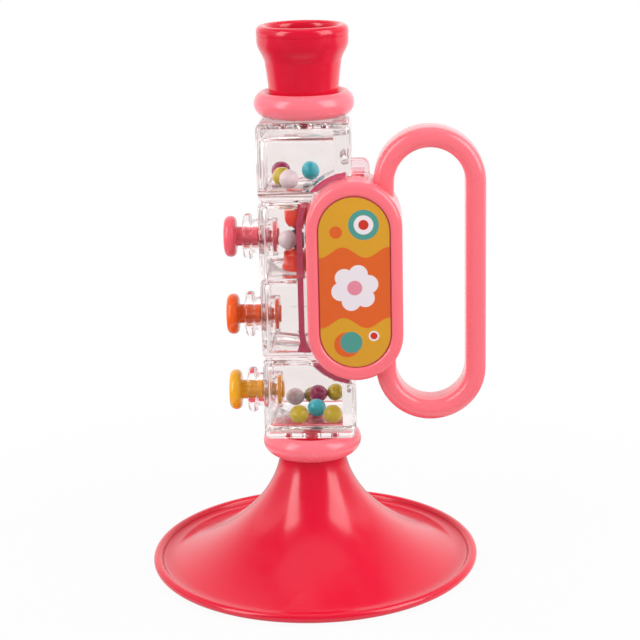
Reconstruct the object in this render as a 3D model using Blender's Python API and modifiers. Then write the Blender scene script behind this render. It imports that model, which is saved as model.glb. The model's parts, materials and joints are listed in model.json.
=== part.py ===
"""Toy trumpet that stands on its bell, with a clear four-chamber rattle body.

Metres, +Z up. The origin is on the tube's axis, on the plane the bell stands on.
The label side faces -Y, the three plungers stand out on -X and the handle on +X.
"""

import math

import bmesh
import bpy
from mathutils import Vector
from mathutils.geometry import interpolate_bezier

# Fits
GAP = 0.0003
RUNNING = 0.00025
CUT_OVERRUN = 0.002
MERGE = 0.00001
FLAT_ANGLE = 0.002

# Bell, a turned shell that stands on its rim
BELL_RADIUS = 0.0718
BELL_LIP_RADIUS = 0.0030
BELL_FLAT_RIM = 0.0022
BELL_RIM_FACE = 0.0098
BELL_RIM_RISE = 0.0033
BELL_RIM_PULL = 0.0190
BELL_NECK_PULL = 0.0170
BELL_NECK_LENGTH = 0.0097
BELL_HEIGHT = 0.0617
BELL_NECK_RADIUS = 0.0143
BELL_WALL = 0.0020
BELL_CROWN = 0.0030
BELL_STEPS = 40
BELL_CURVE_POINTS = 13

# The two rings that clamp the ends of the clear body
RING_THICKNESS = 0.0109
TOP_RING_RADIUS = 0.0209
BOTTOM_RING_RADIUS = 0.0213
RING_BORE_RADIUS = 0.0147
RING_STEPS = 32

# Clear body: four rounded sections one above the other, listed from the bottom up
BODY_WIDTH = 0.0390
BODY_DEPTH = 0.0390
SECTION_HEIGHTS = (0.0359, 0.0347, 0.0329, 0.0326)
SECTION_ROUNDING = 0.0028
NOTCH_DEPTH = 0.0015
WALL = 0.0022
CHAMBER_ROUNDING = 0.0020
END_PLATE = 0.0026
TOP_VOID = 0.0033
TOP_BOSS_RADIUS = 0.00565
BOTTOM_VOID = 0.0018
FLOOR_RISES = (0.0056, 0.0024, -0.0001, 0.0036)
CEILING_DROPS = (0.0028, 0.0021, 0.0024, 0.0076)
COLUMN_WIDTHS = (0.0034, 0.0049)
COLUMN_SCREW_DEPTH = 0.0060

# Spigots that the closed body shells hold at the bell and the mouthpiece
SPIGOT_RADIUS = 0.0040
SPIGOT_FLARE_RADIUS = 0.0048
SPIGOT_FLANGE_RADIUS = 0.0053
PEG_RADIUS = 0.0015
PEG_OFFSET = 0.0097
PEG_LENGTH = 0.0018

# Mouthpiece, a turned cup
MOUTHPIECE_LIP_RADIUS = 0.0191
MOUTHPIECE_OPENING_RADIUS = 0.01466
MOUTHPIECE_NECK_RADIUS = 0.0143
MOUTHPIECE_HEIGHT = 0.0376
MOUTHPIECE_BAND = 0.0080
MOUTHPIECE_TAPER = 0.0062
MOUTHPIECE_TAPER_SHARE = 0.30
MOUTHPIECE_SHOULDER_RADIUS = 0.0156
MOUTHPIECE_WALL = 0.0018
MOUTHPIECE_FLOOR = 0.0030
MOUTHPIECE_COLLAR = 0.0009
MOUTHPIECE_STEPS = 32

# Valves: plungers that slide along X in clear bushes
VALVE_NAMES = ("lower", "middle", "upper")
VALVE_RISE = 0.0170
VALVE_PITCH = 0.0341
VALVE_TRAVEL = 0.0024
HEAD_RADIUS = 0.0087
HEAD_THICKNESS = 0.0056
HEAD_ROUNDING = 0.0022
HEAD_CLEARANCE = 0.0004
SHAFT_RADIUS = 0.0041
STEM_RADIUS = 0.0027
BUSH_FLANGE_RADIUS = 0.00975
BUSH_FLANGE = 0.0040
BUSH_COLLAR_RADIUS = 0.0072
BUSH_COLLAR = 0.0035
BUSH_NECK_RADIUS = 0.0060
BUSH_INNER_FLANGE_RADIUS = 0.0082
BUSH_INNER_FLANGE = 0.0023
BUSH_LEDGE = 0.0008
SPRING_SPACE = 0.0053
SPRING_WIRE = 0.00045
SPRING_TURNS = 3.5
SPRING_POINTS_PER_TURN = 9
CAP_RADIUS = 0.0068
CAP_THICKNESS = 0.0016
CAP_NUB_RADIUS = 0.0036
CAP_NUB = 0.0009
CAP_SOCKET = 0.0014
VALVE_STEPS = 16

# Housing beside the body, split into a front and a rear moulding
HOUSING_OFFSET = 0.00075
HOUSING_RISE = 0.0002
HOUSING_WIDTH = 0.0398
HOUSING_HEIGHT = 0.0846
HOUSING_PROUD = 0.0080
HOUSING_SHALLOW_DEPTH = 0.0183
HOUSING_DEPTH = 0.0270
HOUSING_ROUNDING = 0.0026
HOUSING_WALL = 0.0020
FRONT_MOULDING_DEPTH = 0.0139
LABEL_RIM = 0.0055
LABEL_RECESS = 0.0012
LABEL_THICKNESS = 0.0005
STADIUM_STEPS = 12

# Seat in the clear body that the housing drops into
SEAT_CLEARANCE = 0.0009
SEAT_WALL = 0.0022
SEAT_BACK = 0.0018

# Lug on the clear body over a peg on the housing
LUG_REACH = 0.0075
LUG_HEIGHT = 0.0061
LUG_THICKNESS = 0.0066
LUG_ROUNDING = 0.0030
LUG_WALL = 0.0013
LUG_SET_BACK = 0.0046
LUG_PEG_WIDTH = 0.0042
LUG_PEG_INSET = 0.0009
LUG_PEG_HEIGHT = 0.0026

# Handle loop, half of it on each housing moulding
HANDLE_OFFSET = 0.03135
HANDLE_WIDTH = 0.0463
HANDLE_HEIGHT = 0.1251
HANDLE_BAR = 0.0085
HANDLE_DEPTH = 0.0125
HANDLE_ROUNDING = 0.0036

# Screws
SCREW_HEAD_RADIUS = 0.0023
SCREW_HEAD = 0.0014
SCREW_SHANK_RADIUS = 0.0008
SCREW_STEPS = 10
BOSS_RADIUS = 0.0031
HOUSING_SCREW_OFFSET = 0.01025
HOUSING_SCREW_SPACING = 0.0370
SEAT_SCREW_OFFSET = 0.01125
SEAT_SCREW_SPACING = 0.0330

# Spool that turns in the second chamber from the top
SPOOL_X = 0.0040
SPOOL_Y = 0.0007
SPOOL_RIM_RADIUS = 0.0055
SPOOL_DOME = 0.0056
SPOOL_UPPER_HEIGHT = 0.0118
SPOOL_LOWER_RADIUS = 0.0063
SPOOL_LIP_RADIUS = 0.0071
SPOOL_LIP = 0.0016
SPOOL_LOWER_HEIGHT = 0.0088
SPOOL_SHOULDER = 0.0024
SPOOL_SHOULDER_FLAT_SHARE = 0.35
SPOOL_BALL_RADIUS = 0.0040
SPOOL_AXLE_RADIUS = 0.0012
SPOOL_AXLE_DEPTH = 0.0009
SPOOL_STEPS = 16

# Rattle balls: section, shares of the free half-width and half-depth, and the
# share of a ball's diameter by which its neighbours hold it off the floor
BEAD_RADIUS = 0.0039
BEAD_SEGMENTS = 12
BEAD_RINGS = 7
BEAD_PLACE_SHARES = (
    ("bead_purple_top", 3, (-0.851, 0.791, 0), "purple"),
    ("bead_lime_top", 3, (-0.746, -0.224, 0), "lime"),
    ("bead_white_top", 3, (-0.493, -0.821, 0.05), "white"),
    ("bead_teal_top", 3, (0.127, 0.709, 0), "teal"),
    ("bead_lime_front_left", 0, (-0.366, -0.978, 0), "lime"),
    ("bead_lime_front_right", 0, (0.709, -0.978, 0), "lime"),
    ("bead_teal_bottom", 0, (0.157, -0.351, 0), "teal"),
    ("bead_white_bottom", 0, (-0.604, 0.754, 0.04), "white"),
    ("bead_olive_bottom", 0, (-0.043, 0.978, 0), "olive"),
    ("bead_purple_bottom", 0, (0.166, 0.410, 0.436), "purple"),
    ("bead_lime_back", 0, (0.716, 0.672, 0.37), "lime"),
)

# White ball that turns on a stub pin of the seat's wall, beside the spool
TURNING_BALL_SIDE_GAP = 0.00105
TURNING_BALL_DEPTH = 0.0070
TURNING_BALL_RISE = 0.0007
TURNING_PIN_RADIUS = 0.0009
TURNING_PIN_DEPTH = 0.0020

# Finishes: colour, roughness, metallic, alpha
FINISHES = {
    "crimson": ((0.72, 0.01, 0.06), 0.25, 0.0, 1.0),
    "rose": ((1.00, 0.24, 0.30), 0.25, 0.0, 1.0),
    "coral": ((1.00, 0.17, 0.22), 0.25, 0.0, 1.0),
    "clear": ((0.97, 0.92, 0.92), 0.05, 0.0, 0.25),
    "plunger_pink": ((0.87, 0.10, 0.17), 0.28, 0.0, 1.0),
    "plunger_orange": ((0.92, 0.14, 0.01), 0.28, 0.0, 1.0),
    "plunger_yellow": ((0.93, 0.48, 0.03), 0.28, 0.0, 1.0),
    "label": ((0.72, 0.36, 0.02), 0.45, 0.0, 1.0),
    "steel": ((0.62, 0.62, 0.64), 0.30, 1.0, 1.0),
    "red_orange": ((0.72, 0.04, 0.01), 0.30, 0.0, 1.0),
    "grey": ((0.05, 0.05, 0.06), 0.40, 0.0, 1.0),
    "purple": ((0.33, 0.03, 0.22), 0.25, 0.0, 1.0),
    "lime": ((0.46, 0.40, 0.02), 0.25, 0.0, 1.0),
    "olive": ((0.28, 0.22, 0.02), 0.25, 0.0, 1.0),
    "white": ((0.76, 0.68, 0.70), 0.25, 0.0, 1.0),
    "teal": ((0.05, 0.36, 0.40), 0.25, 0.0, 1.0),
}

# Places that follow from the sizes
BODY_BASE = BELL_HEIGHT + GAP
SECTION_BASES = tuple(BODY_BASE + sum(SECTION_HEIGHTS[:i]) for i in range(len(SECTION_HEIGHTS)))
BODY_TOP = BODY_BASE + sum(SECTION_HEIGHTS)
FLOORS = tuple(base + rise for base, rise in zip(SECTION_BASES, FLOOR_RISES))
CEILINGS = tuple(
    base + height - drop
    for base, height, drop in zip(SECTION_BASES, SECTION_HEIGHTS, CEILING_DROPS)
)
HALF_WIDTH = BODY_WIDTH / 2
HALF_DEPTH = BODY_DEPTH / 2
INNER_X = HALF_WIDTH - WALL
INNER_Y = HALF_DEPTH - WALL
VALVE_HEIGHTS = tuple(BODY_BASE + VALVE_RISE + i * VALVE_PITCH for i in range(len(VALVE_NAMES)))

BUSH_COLLAR_END = -(HALF_WIDTH + GAP)
BUSH_FLANGE_INNER = BUSH_COLLAR_END - BUSH_COLLAR
BUSH_FLANGE_OUTER = BUSH_FLANGE_INNER - BUSH_FLANGE
BUSH_INNER_START = -INNER_X + GAP
BUSH_INNER_END = BUSH_INNER_START + BUSH_INNER_FLANGE
SPRING_SEAT = BUSH_INNER_END - BUSH_LEDGE
PLUNGER_SHOULDER = SPRING_SEAT - SPRING_SPACE
HEAD_INNER = BUSH_FLANGE_OUTER - VALVE_TRAVEL - HEAD_CLEARANCE
HEAD_OUTER = HEAD_INNER - HEAD_THICKNESS
CAP_START = BUSH_INNER_END + GAP
CAP_END = CAP_START + CAP_THICKNESS
STEM_END = CAP_START + CAP_SOCKET - GAP

HOUSING_CENTRE_X = HALF_WIDTH + HOUSING_OFFSET
HOUSING_CENTRE_Z = SECTION_BASES[2] + HOUSING_RISE
HOUSING_FRONT = HALF_DEPTH + HOUSING_PROUD
HOUSING_RADIUS = HOUSING_WIDTH / 2
HOUSING_STRAIGHT = HOUSING_HEIGHT / 2 - HOUSING_RADIUS
HOUSING_SHALLOW_REAR = -HOUSING_FRONT + HOUSING_SHALLOW_DEPTH
HOUSING_REAR = -HOUSING_FRONT + HOUSING_DEPTH
HOUSING_SIDE = HALF_WIDTH + GAP
SEAT_FLOOR = HOUSING_SHALLOW_REAR + GAP
SEAT_REAR = SEAT_FLOOR + SEAT_BACK
SEAT_RADIUS = HOUSING_RADIUS + SEAT_CLEARANCE
HOUSING_TOP = HOUSING_CENTRE_Z + HOUSING_HEIGHT / 2
FRONT_PLATE_INNER = -HOUSING_FRONT + LABEL_RECESS + HOUSING_WALL
PARTING_Y = HOUSING_FRONT - FRONT_MOULDING_DEPTH
LUG_Y = PARTING_Y - LUG_SET_BACK
HANDLE_CENTRE_X = HOUSING_CENTRE_X + HANDLE_OFFSET
PARTING_FRONT = -PARTING_Y - GAP / 2
PARTING_REAR = -PARTING_Y + GAP / 2

SCREW_BORE = SCREW_SHANK_RADIUS + GAP
HOUSING_SCREW_X = HOUSING_CENTRE_X + HOUSING_SCREW_OFFSET
SEAT_SCREW_X = HOUSING_CENTRE_X - SEAT_SCREW_OFFSET
HOUSING_SCREWS = tuple(
    (HOUSING_SCREW_X, HOUSING_CENTRE_Z + side * HOUSING_SCREW_SPACING / 2) for side in (-1, 1)
)
SEAT_SCREWS = tuple(
    (SEAT_SCREW_X, HOUSING_CENTRE_Z + side * SEAT_SCREW_SPACING / 2) for side in (-1, 1)
)
COLUMN_SECTIONS = (0, 3)
COLUMN_SCREWS = tuple(
    (HALF_WIDTH - (width + WALL) / 2, (FLOORS[index] + CEILINGS[index]) / 2)
    for width, index in zip(COLUMN_WIDTHS, COLUMN_SECTIONS)
)

LUG_BASE = HOUSING_TOP + GAP
SPOOL_FLOOR = FLOORS[2] + GAP
SPOOL_LOWER_TOP = SPOOL_FLOOR + SPOOL_LOWER_HEIGHT
SPOOL_BALL_Z = SPOOL_LOWER_TOP + GAP + SPOOL_BALL_RADIUS
SPOOL_DOME_BOTTOM = SPOOL_BALL_Z + SPOOL_BALL_RADIUS + GAP
SPOOL_CENTRE = (-SPOOL_X, SPOOL_Y)
SEAT_LEFT = HOUSING_CENTRE_X - SEAT_RADIUS - SEAT_WALL
TURNING_BALL = (
    SEAT_LEFT - TURNING_BALL_SIDE_GAP - BEAD_RADIUS,
    -INNER_Y + TURNING_BALL_DEPTH,
    VALVE_HEIGHTS[2] + TURNING_BALL_RISE,
)


def clear_scene():
    for item in list(bpy.data.objects):
        bpy.data.objects.remove(item, do_unlink=True)


def new_collection(name):
    collection = bpy.data.collections.new(name)
    bpy.context.scene.collection.children.link(collection)
    return collection


def add_object(name, mesh, collection):
    item = bpy.data.objects.new(name, mesh)
    collection.objects.link(item)
    if collection == CUTTERS:
        item.hide_render = True
        item.display_type = "WIRE"
    return item


def paint(item, finish_name):
    """Give a sub-part its own Principled material."""
    colour, roughness, metallic, alpha = FINISHES[finish_name]
    material = bpy.data.materials.new(f"{item.name}_{finish_name}")
    material.use_nodes = True
    shader = material.node_tree.nodes["Principled BSDF"]
    shader.inputs["Base Color"].default_value = (*colour, 1)
    shader.inputs["Roughness"].default_value = roughness
    shader.inputs["Metallic"].default_value = metallic
    shader.inputs["Alpha"].default_value = alpha
    material.diffuse_color = (*colour, alpha)
    item.data.materials.clear()
    item.data.materials.append(material)
    return item


def from_bmesh(name, shape, collection):
    mesh = bpy.data.meshes.new(name)
    shape.to_mesh(mesh)
    shape.free()
    return add_object(name, mesh, collection)


def box(name, low, high, collection=None, rounding=0, segments=2):
    """A box between two corners, with its edges rounded if asked."""
    shape = bmesh.new()
    bmesh.ops.create_cube(shape, size=1)
    for vertex in shape.verts:
        for axis in range(3):
            middle = (low[axis] + high[axis]) / 2
            vertex.co[axis] = middle + vertex.co[axis] * (high[axis] - low[axis])
    item = from_bmesh(name, shape, collection or CUTTERS)
    if rounding:
        add_bevel(item, rounding, segments)
    return item


def rod(name, radius, start, end, steps, end_radius=None):
    """A cutter or a core, round between two points that share two coordinates."""
    axis = max(range(3), key=lambda i: abs(end[i] - start[i]))
    radii = (radius, end_radius or radius)
    if end[axis] < start[axis]:
        radii = radii[::-1]
    shape = bmesh.new()
    bmesh.ops.create_cone(
        shape,
        cap_ends=True,
        segments=steps,
        radius1=radii[0],
        radius2=radii[1],
        depth=abs(end[axis] - start[axis]),
    )
    middle = [(a + b) / 2 for a, b in zip(start, end)]
    for vertex in shape.verts:
        x, y, z = vertex.co
        turned_to_axis = ((z, y, -x), (x, z, -y), (x, y, z))[axis]
        vertex.co = [place + offset for place, offset in zip(middle, turned_to_axis)]
    return from_bmesh(name, shape, CUTTERS)


def add_bevel(item, width, segments):
    bevel = item.modifiers.new("round_edges", "BEVEL")
    bevel.width = width
    bevel.segments = segments
    bevel.limit_method = "ANGLE"
    bevel.angle_limit = math.radians(40)
    bevel.use_clamp_overlap = True


def combine(item, operation, *others):
    for other in others:
        step = item.modifiers.new(operation.lower(), "BOOLEAN")
        step.operation = operation
        step.solver = "EXACT"
        step.object = other
    return item


def turned(name, profile, steps, collection=None, along_x=False):
    """A Screw of (radius, height) points that run down the outer side."""
    closed = profile[0][0] > 0
    shape = bmesh.new()
    points = [shape.verts.new((radius, 0, height)) for radius, height in profile]
    for first, second in zip(points, points[1:]):
        shape.edges.new((first, second))
    if closed:
        shape.edges.new((points[-1], points[0]))
    item = from_bmesh(name, shape, collection or CUTTERS)
    screw = item.modifiers.new("turn", "SCREW")
    screw.steps = steps
    screw.render_steps = steps
    screw.use_merge_vertices = True
    screw.merge_threshold = MERGE
    screw.use_smooth_shade = True
    if along_x:
        item.rotation_euler = (0, math.pi / 2, 0)
    return item


def arc(centre, radius, start, end, count):
    """Points on an arc, with angles in degrees."""
    angles = [math.radians(start + (end - start) * i / count) for i in range(count + 1)]
    return [
        (centre[0] + radius * math.cos(angle), centre[1] + radius * math.sin(angle))
        for angle in angles
    ]


def stadium(centre_x, centre_z, radius, straight):
    """Outline with round ends above and below."""
    upper = arc((centre_x, centre_z + straight), radius, 0, 180, STADIUM_STEPS)
    lower = arc((centre_x, centre_z - straight), radius, 180, 360, STADIUM_STEPS)
    return upper + lower


def plate(name, outlines, front, rear, rounding=0, collection=None):
    """Outlines in X and Z as a solid from one Y to another; a hole runs the other way round."""
    curve = bpy.data.curves.new(name, "CURVE")
    curve.dimensions = "2D"
    curve.fill_mode = "BOTH"
    curve.extrude = (rear - front) / 2 - rounding
    curve.bevel_depth = rounding
    curve.bevel_resolution = 1
    curve.offset = -rounding
    for outline in outlines:
        spline = curve.splines.new("POLY")
        spline.points.add(len(outline) - 1)
        for point, (x, z) in zip(spline.points, outline):
            point.co = (x, z, 0, 1)
        spline.use_cyclic_u = True
    guide = bpy.data.objects.new(name + "_outline", curve)
    CUTTERS.objects.link(guide)
    bpy.context.view_layer.update()
    evaluated = guide.evaluated_get(bpy.context.evaluated_depsgraph_get())
    mesh = bpy.data.meshes.new_from_object(evaluated)
    mesh.name = name
    shape = bmesh.new()
    shape.from_mesh(mesh)
    bmesh.ops.remove_doubles(shape, verts=shape.verts, dist=MERGE)
    middle = (front + rear) / 2
    for vertex in shape.verts:
        x, z, depth = vertex.co
        vertex.co = (x, middle - depth, z)
    if rounding:
        bmesh.ops.dissolve_limit(
            shape, angle_limit=FLAT_ANGLE, verts=shape.verts, edges=shape.edges
        )
    shape.to_mesh(mesh)
    shape.free()
    bpy.data.objects.remove(guide)
    return add_object(name, mesh, collection or CUTTERS)


def place(item, x, y, z):
    item.location = (x, y, z)
    return item


def shade(item):
    item.data.shade_smooth()
    item.data.set_sharp_from_angle(angle=math.radians(40))
    return item


def bell_curve():
    """Points down the outer flare, from the neck to the flat by the rim."""
    neck = Vector((BELL_NECK_RADIUS, BELL_HEIGHT - BELL_NECK_LENGTH))
    rim = Vector((BELL_RADIUS - BELL_RIM_FACE, BELL_RIM_RISE))
    neck_handle = neck - Vector((0, BELL_NECK_PULL))
    rim_handle = rim - Vector((BELL_RIM_PULL, 0))
    return interpolate_bezier(neck, neck_handle, rim_handle, rim, BELL_CURVE_POINTS)


def offset_curve(points, distance):
    """The same curve moved sideways, towards the axis of a shape that widens downwards."""
    moved = []
    for index, point in enumerate(points):
        before = points[max(index - 1, 0)]
        after = points[min(index + 1, len(points) - 1)]
        along = (after - before).normalized()
        moved.append(point + Vector((along.y, -along.x)) * distance)
    return moved


def bell():
    """Flared bell with a rolled rim, a closed neck, two pegs and a spigot."""
    outer = bell_curve()
    inner = offset_curve(outer, BELL_WALL)
    lip_centre = (BELL_RADIUS - BELL_LIP_RADIUS, BELL_LIP_RADIUS)
    outer_roll = arc(lip_centre, BELL_LIP_RADIUS, 165, -66, 8)
    inner_roll = arc(lip_centre, BELL_LIP_RADIUS, 246, 204, 2)
    flat_start = lip_centre[0] + BELL_FLAT_RIM / 2
    profile = [(0, BELL_HEIGHT), (BELL_NECK_RADIUS, BELL_HEIGHT)]
    profile += [tuple(point) for point in outer] + outer_roll
    profile += [(flat_start, 0), (flat_start - BELL_FLAT_RIM, 0)] + inner_roll
    profile += [tuple(point) for point in reversed(inner)]
    profile += [(BELL_NECK_RADIUS - BELL_WALL, BELL_HEIGHT - BELL_CROWN)]
    profile += [(0, BELL_HEIGHT - BELL_CROWN)]
    item = turned("bell", profile, BELL_STEPS, PARTS)
    root = BELL_HEIGHT - BELL_CROWN / 2
    flange_base = BODY_BASE + END_PLATE + GAP
    flange_top = flange_base + BOTTOM_VOID - 2 * GAP
    middle = (flange_base + flange_top) / 2
    neck = rod("bell_spigot", SPIGOT_RADIUS, (0, 0, root), (0, 0, middle), VALVE_STEPS)
    flange = rod(
        "bell_flange", SPIGOT_FLANGE_RADIUS, (0, 0, flange_base), (0, 0, flange_top), VALVE_STEPS
    )
    combine(item, "UNION", neck, flange, *pegs("bell", root, BODY_BASE + PEG_LENGTH, 0))
    return paint(item, "crimson")


def pegs(name, root, end, clearance):
    """Two locating pegs beside a spigot, or their holes."""
    return [
        rod(
            f"{name}_peg_{index}",
            PEG_RADIUS + clearance,
            (side * PEG_OFFSET, 0, root),
            (side * PEG_OFFSET, 0, end),
            SCREW_STEPS,
        )
        for index, side in enumerate((-1, 1))
    ]


def ring(name, radius, base, finish_name):
    """Half-round ring with a plain bore."""
    half = RING_THICKNESS / 2
    outside = arc((radius - half, base + half), half, 90, -90, 7)
    profile = outside + [(RING_BORE_RADIUS, base), (RING_BORE_RADIUS, base + RING_THICKNESS)]
    return paint(turned(name, profile, RING_STEPS, PARTS), finish_name)


def mouthpiece():
    """Cup with a rolled lip, a thick band, a tapered neck and a closed floor."""
    base = BODY_TOP + GAP
    ring_top = base + RING_THICKNESS
    top = base + MOUTHPIECE_HEIGHT
    roll = (MOUTHPIECE_LIP_RADIUS - MOUTHPIECE_OPENING_RADIUS) / 2
    roll_x = MOUTHPIECE_LIP_RADIUS - roll
    rolled = arc((roll_x, top - roll), roll, 150, 0, 6)
    band_end = top - MOUTHPIECE_BAND
    taper_end = band_end - MOUTHPIECE_TAPER
    band = MOUTHPIECE_LIP_RADIUS - MOUTHPIECE_COLLAR / 2
    shoulder = MOUTHPIECE_SHOULDER_RADIUS
    taper = shoulder + (band - shoulder) * MOUTHPIECE_TAPER_SHARE
    neck = MOUTHPIECE_NECK_RADIUS
    collar = MOUTHPIECE_COLLAR
    floor = base + MOUTHPIECE_FLOOR
    profile = [(0, floor), (neck - MOUTHPIECE_WALL, floor)]
    profile += [(neck - MOUTHPIECE_WALL, ring_top + collar)]
    profile += [(shoulder - MOUTHPIECE_WALL, taper_end), (roll_x - roll, top - 2 * roll)]
    profile += rolled
    profile += [(band, band_end), (taper, (band_end + taper_end) / 2), (shoulder, taper_end)]
    profile += [(neck, ring_top + 2 * collar), (neck + collar, ring_top + collar)]
    profile += [(neck + collar, ring_top + GAP), (neck, ring_top + GAP), (neck, base), (0, base)]
    item = turned("mouthpiece", profile, MOUTHPIECE_STEPS, PARTS)
    root = base + MOUTHPIECE_FLOOR / 2
    straight = rod("spigot_root", SPIGOT_RADIUS, (0, 0, root), (0, 0, base - 2 * GAP), VALVE_STEPS)
    flare = spigot_flare("spigot", 0)
    combine(item, "UNION", straight, flare, *pegs("mouthpiece", root, BODY_TOP - PEG_LENGTH, 0))
    return paint(item, "crimson")


def spigot_flare(name, clearance):
    """The mouthpiece's spigot widens inside the top plate, which holds it."""
    return rod(
        name,
        SPIGOT_RADIUS + clearance,
        (0, 0, BODY_TOP),
        (0, 0, BODY_TOP - END_PLATE - clearance),
        VALVE_STEPS,
        SPIGOT_FLARE_RADIUS + clearance,
    )


def body_solid():
    """Outer form of the clear body: rounded sections on a slimmer core."""
    core_x = HALF_WIDTH - NOTCH_DEPTH
    core_y = HALF_DEPTH - NOTCH_DEPTH
    inset = SECTION_ROUNDING
    core = box(
        "body_core",
        (-core_x, -core_y, BODY_BASE + inset),
        (core_x, core_y, BODY_TOP - inset),
        rounding=NOTCH_DEPTH,
    )
    for index, (base, height) in enumerate(zip(SECTION_BASES, SECTION_HEIGHTS)):
        section = box(
            f"body_section_{index}",
            (-HALF_WIDTH, -HALF_DEPTH, base),
            (HALF_WIDTH, HALF_DEPTH, base + height),
            rounding=SECTION_ROUNDING,
        )
        combine(core, "UNION", section)
    return core


def chamber_cutters():
    """The four bead chambers and the voids at both ends."""
    cutters = [
        box(
            f"chamber_{index}",
            (-INNER_X, -INNER_Y, floor),
            (INNER_X, INNER_Y, ceiling),
            rounding=CHAMBER_ROUNDING,
            segments=1,
        )
        for index, (floor, ceiling) in enumerate(zip(FLOORS, CEILINGS))
    ]
    low = BODY_BASE + END_PLATE
    high = BODY_TOP - END_PLATE
    for name, start, end in (
        ("bottom_void", low, low + BOTTOM_VOID),
        ("top_void", high - TOP_VOID, high),
    ):
        cutters.append(box(name, (-INNER_X, -INNER_Y, start), (INNER_X, INNER_Y, end)))
    return cutters


def columns(name, front, rear):
    """Screw columns down the right side of the bottom and top chambers."""
    middle = WALL / 2
    return [
        box(
            f"{name}_{section}",
            (INNER_X - width, front, FLOORS[section] - middle),
            (INNER_X + middle, rear, CEILINGS[section] + middle),
        )
        for section, width in zip(COLUMN_SECTIONS, COLUMN_WIDTHS)
    ]


def seat_outline(thickness):
    radius = SEAT_RADIUS + thickness
    return stadium(HOUSING_CENTRE_X, HOUSING_CENTRE_Z, radius, HOUSING_STRAIGHT)


def seat_block():
    """Clear wall round the housing's seat, as far as the middle of the side wall."""
    middle = WALL / 2
    block = plate("seat_block", [seat_outline(SEAT_WALL)], -HALF_DEPTH + middle, SEAT_REAR)
    left = SEAT_LEFT - CUT_OVERRUN
    reach = HOUSING_HEIGHT / 2 + SEAT_CLEARANCE + SEAT_WALL + CUT_OVERRUN
    inside = box(
        "seat_bounds",
        (left, -HALF_DEPTH, HOUSING_CENTRE_Z - reach),
        (HALF_WIDTH - middle, 0, HOUSING_CENTRE_Z + reach),
    )
    return combine(block, "INTERSECT", inside)


def seat_cutter():
    return plate("seat_cutter", [seat_outline(0)], -HALF_DEPTH - CUT_OVERRUN, SEAT_FLOOR)


def lug_solid():
    """Lug beside the top section, with a rounded outer corner."""
    right = HALF_WIDTH + LUG_REACH
    top = LUG_BASE + LUG_HEIGHT
    root = HALF_WIDTH - WALL / 2
    corner = arc((right - LUG_ROUNDING, top - LUG_ROUNDING), LUG_ROUNDING, 0, 90, 4)
    outline = [(root, LUG_BASE), (right, LUG_BASE)] + corner + [(root, top)]
    half = LUG_THICKNESS / 2
    return plate("lug_solid", [outline], -LUG_Y - half, -LUG_Y + half)


def lug_pocket():
    """Pocket under the lug for the housing's peg."""
    half = LUG_THICKNESS / 2 - LUG_WALL
    start = HALF_WIDTH + LUG_PEG_INSET - GAP
    return box(
        "lug_pocket",
        (start, -LUG_Y - half, LUG_BASE - CUT_OVERRUN),
        (start + LUG_PEG_WIDTH + 2 * GAP, -LUG_Y + half, LUG_BASE + LUG_PEG_HEIGHT + GAP),
    )


def body_bores():
    """Holes for the bushes, the spigots with their pegs, and the spool's axle."""
    cutters = []
    for name, height in zip(VALVE_NAMES, VALVE_HEIGHTS):
        start = (-HALF_WIDTH - CUT_OVERRUN, 0, height)
        end = (-INNER_X + CUT_OVERRUN, 0, height)
        cutters.append(rod(f"{name}_bush_hole", BUSH_NECK_RADIUS + GAP, start, end, VALVE_STEPS))
    radius = SPIGOT_RADIUS + GAP
    low = (0, 0, BODY_BASE - CUT_OVERRUN)
    low_end = (0, 0, BODY_BASE + END_PLATE + GAP)
    high = (0, 0, BODY_TOP + CUT_OVERRUN)
    cutters.append(rod("bell_hole", radius, low, low_end, VALVE_STEPS))
    cutters.append(rod("spigot_hole", radius, high, (0, 0, BODY_TOP - GAP), VALVE_STEPS))
    cutters.append(spigot_flare("spigot_flare_hole", GAP))
    cutters += pegs("bell_hole", low[2], BODY_BASE + PEG_LENGTH + GAP, GAP)
    cutters += pegs("mouthpiece_hole", high[2], BODY_TOP - PEG_LENGTH - GAP, GAP)
    x, y = SPOOL_CENTRE
    depth = SPOOL_AXLE_DEPTH + GAP
    for name, face, into in (("low", FLOORS[2], -1), ("high", CEILINGS[2], 1)):
        start = (x, y, face - into * depth)
        end = (x, y, face + into * depth)
        radius = SPOOL_AXLE_RADIUS + RUNNING
        cutters.append(rod(f"axle_hole_{name}", radius, start, end, SCREW_STEPS))
    return cutters


def top_boss():
    """Solid post across the top void, under the mouthpiece's spigot."""
    overlap = END_PLATE / 3
    high = BODY_TOP - END_PLATE
    start = (0, 0, high - TOP_VOID - overlap)
    return rod("top_boss", TOP_BOSS_RADIUS, start, (0, 0, high + overlap), VALVE_STEPS)


def column_bores(rear):
    """Screw bores: blind in the front shell, stepped for the heads in the rear shell."""
    if not rear:
        front = -COLUMN_SCREW_DEPTH - GAP
        return posts("front_column_bore", COLUMN_SCREWS, front, CUT_OVERRUN, SCREW_BORE, SCREW_STEPS)
    outside = HALF_DEPTH + CUT_OVERRUN
    head = HALF_DEPTH - SCREW_HEAD - GAP
    bores = posts("rear_column_bore", COLUMN_SCREWS, -CUT_OVERRUN, outside, SCREW_BORE, SCREW_STEPS)
    radius = SCREW_HEAD_RADIUS + GAP
    return bores + posts("column_head_seat", COLUMN_SCREWS, head, outside, radius, SCREW_STEPS)


def turning_ball_pin():
    """Stub pin from inside the seat's wall into the white ball."""
    _, y, z = TURNING_BALL
    start = (SEAT_LEFT + SEAT_WALL / 2, y, z)
    end = (TURNING_BALL[0] + BEAD_RADIUS - TURNING_PIN_DEPTH, y, z)
    return rod("turning_ball_pin", TURNING_PIN_RADIUS, start, end, SCREW_STEPS)


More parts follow.
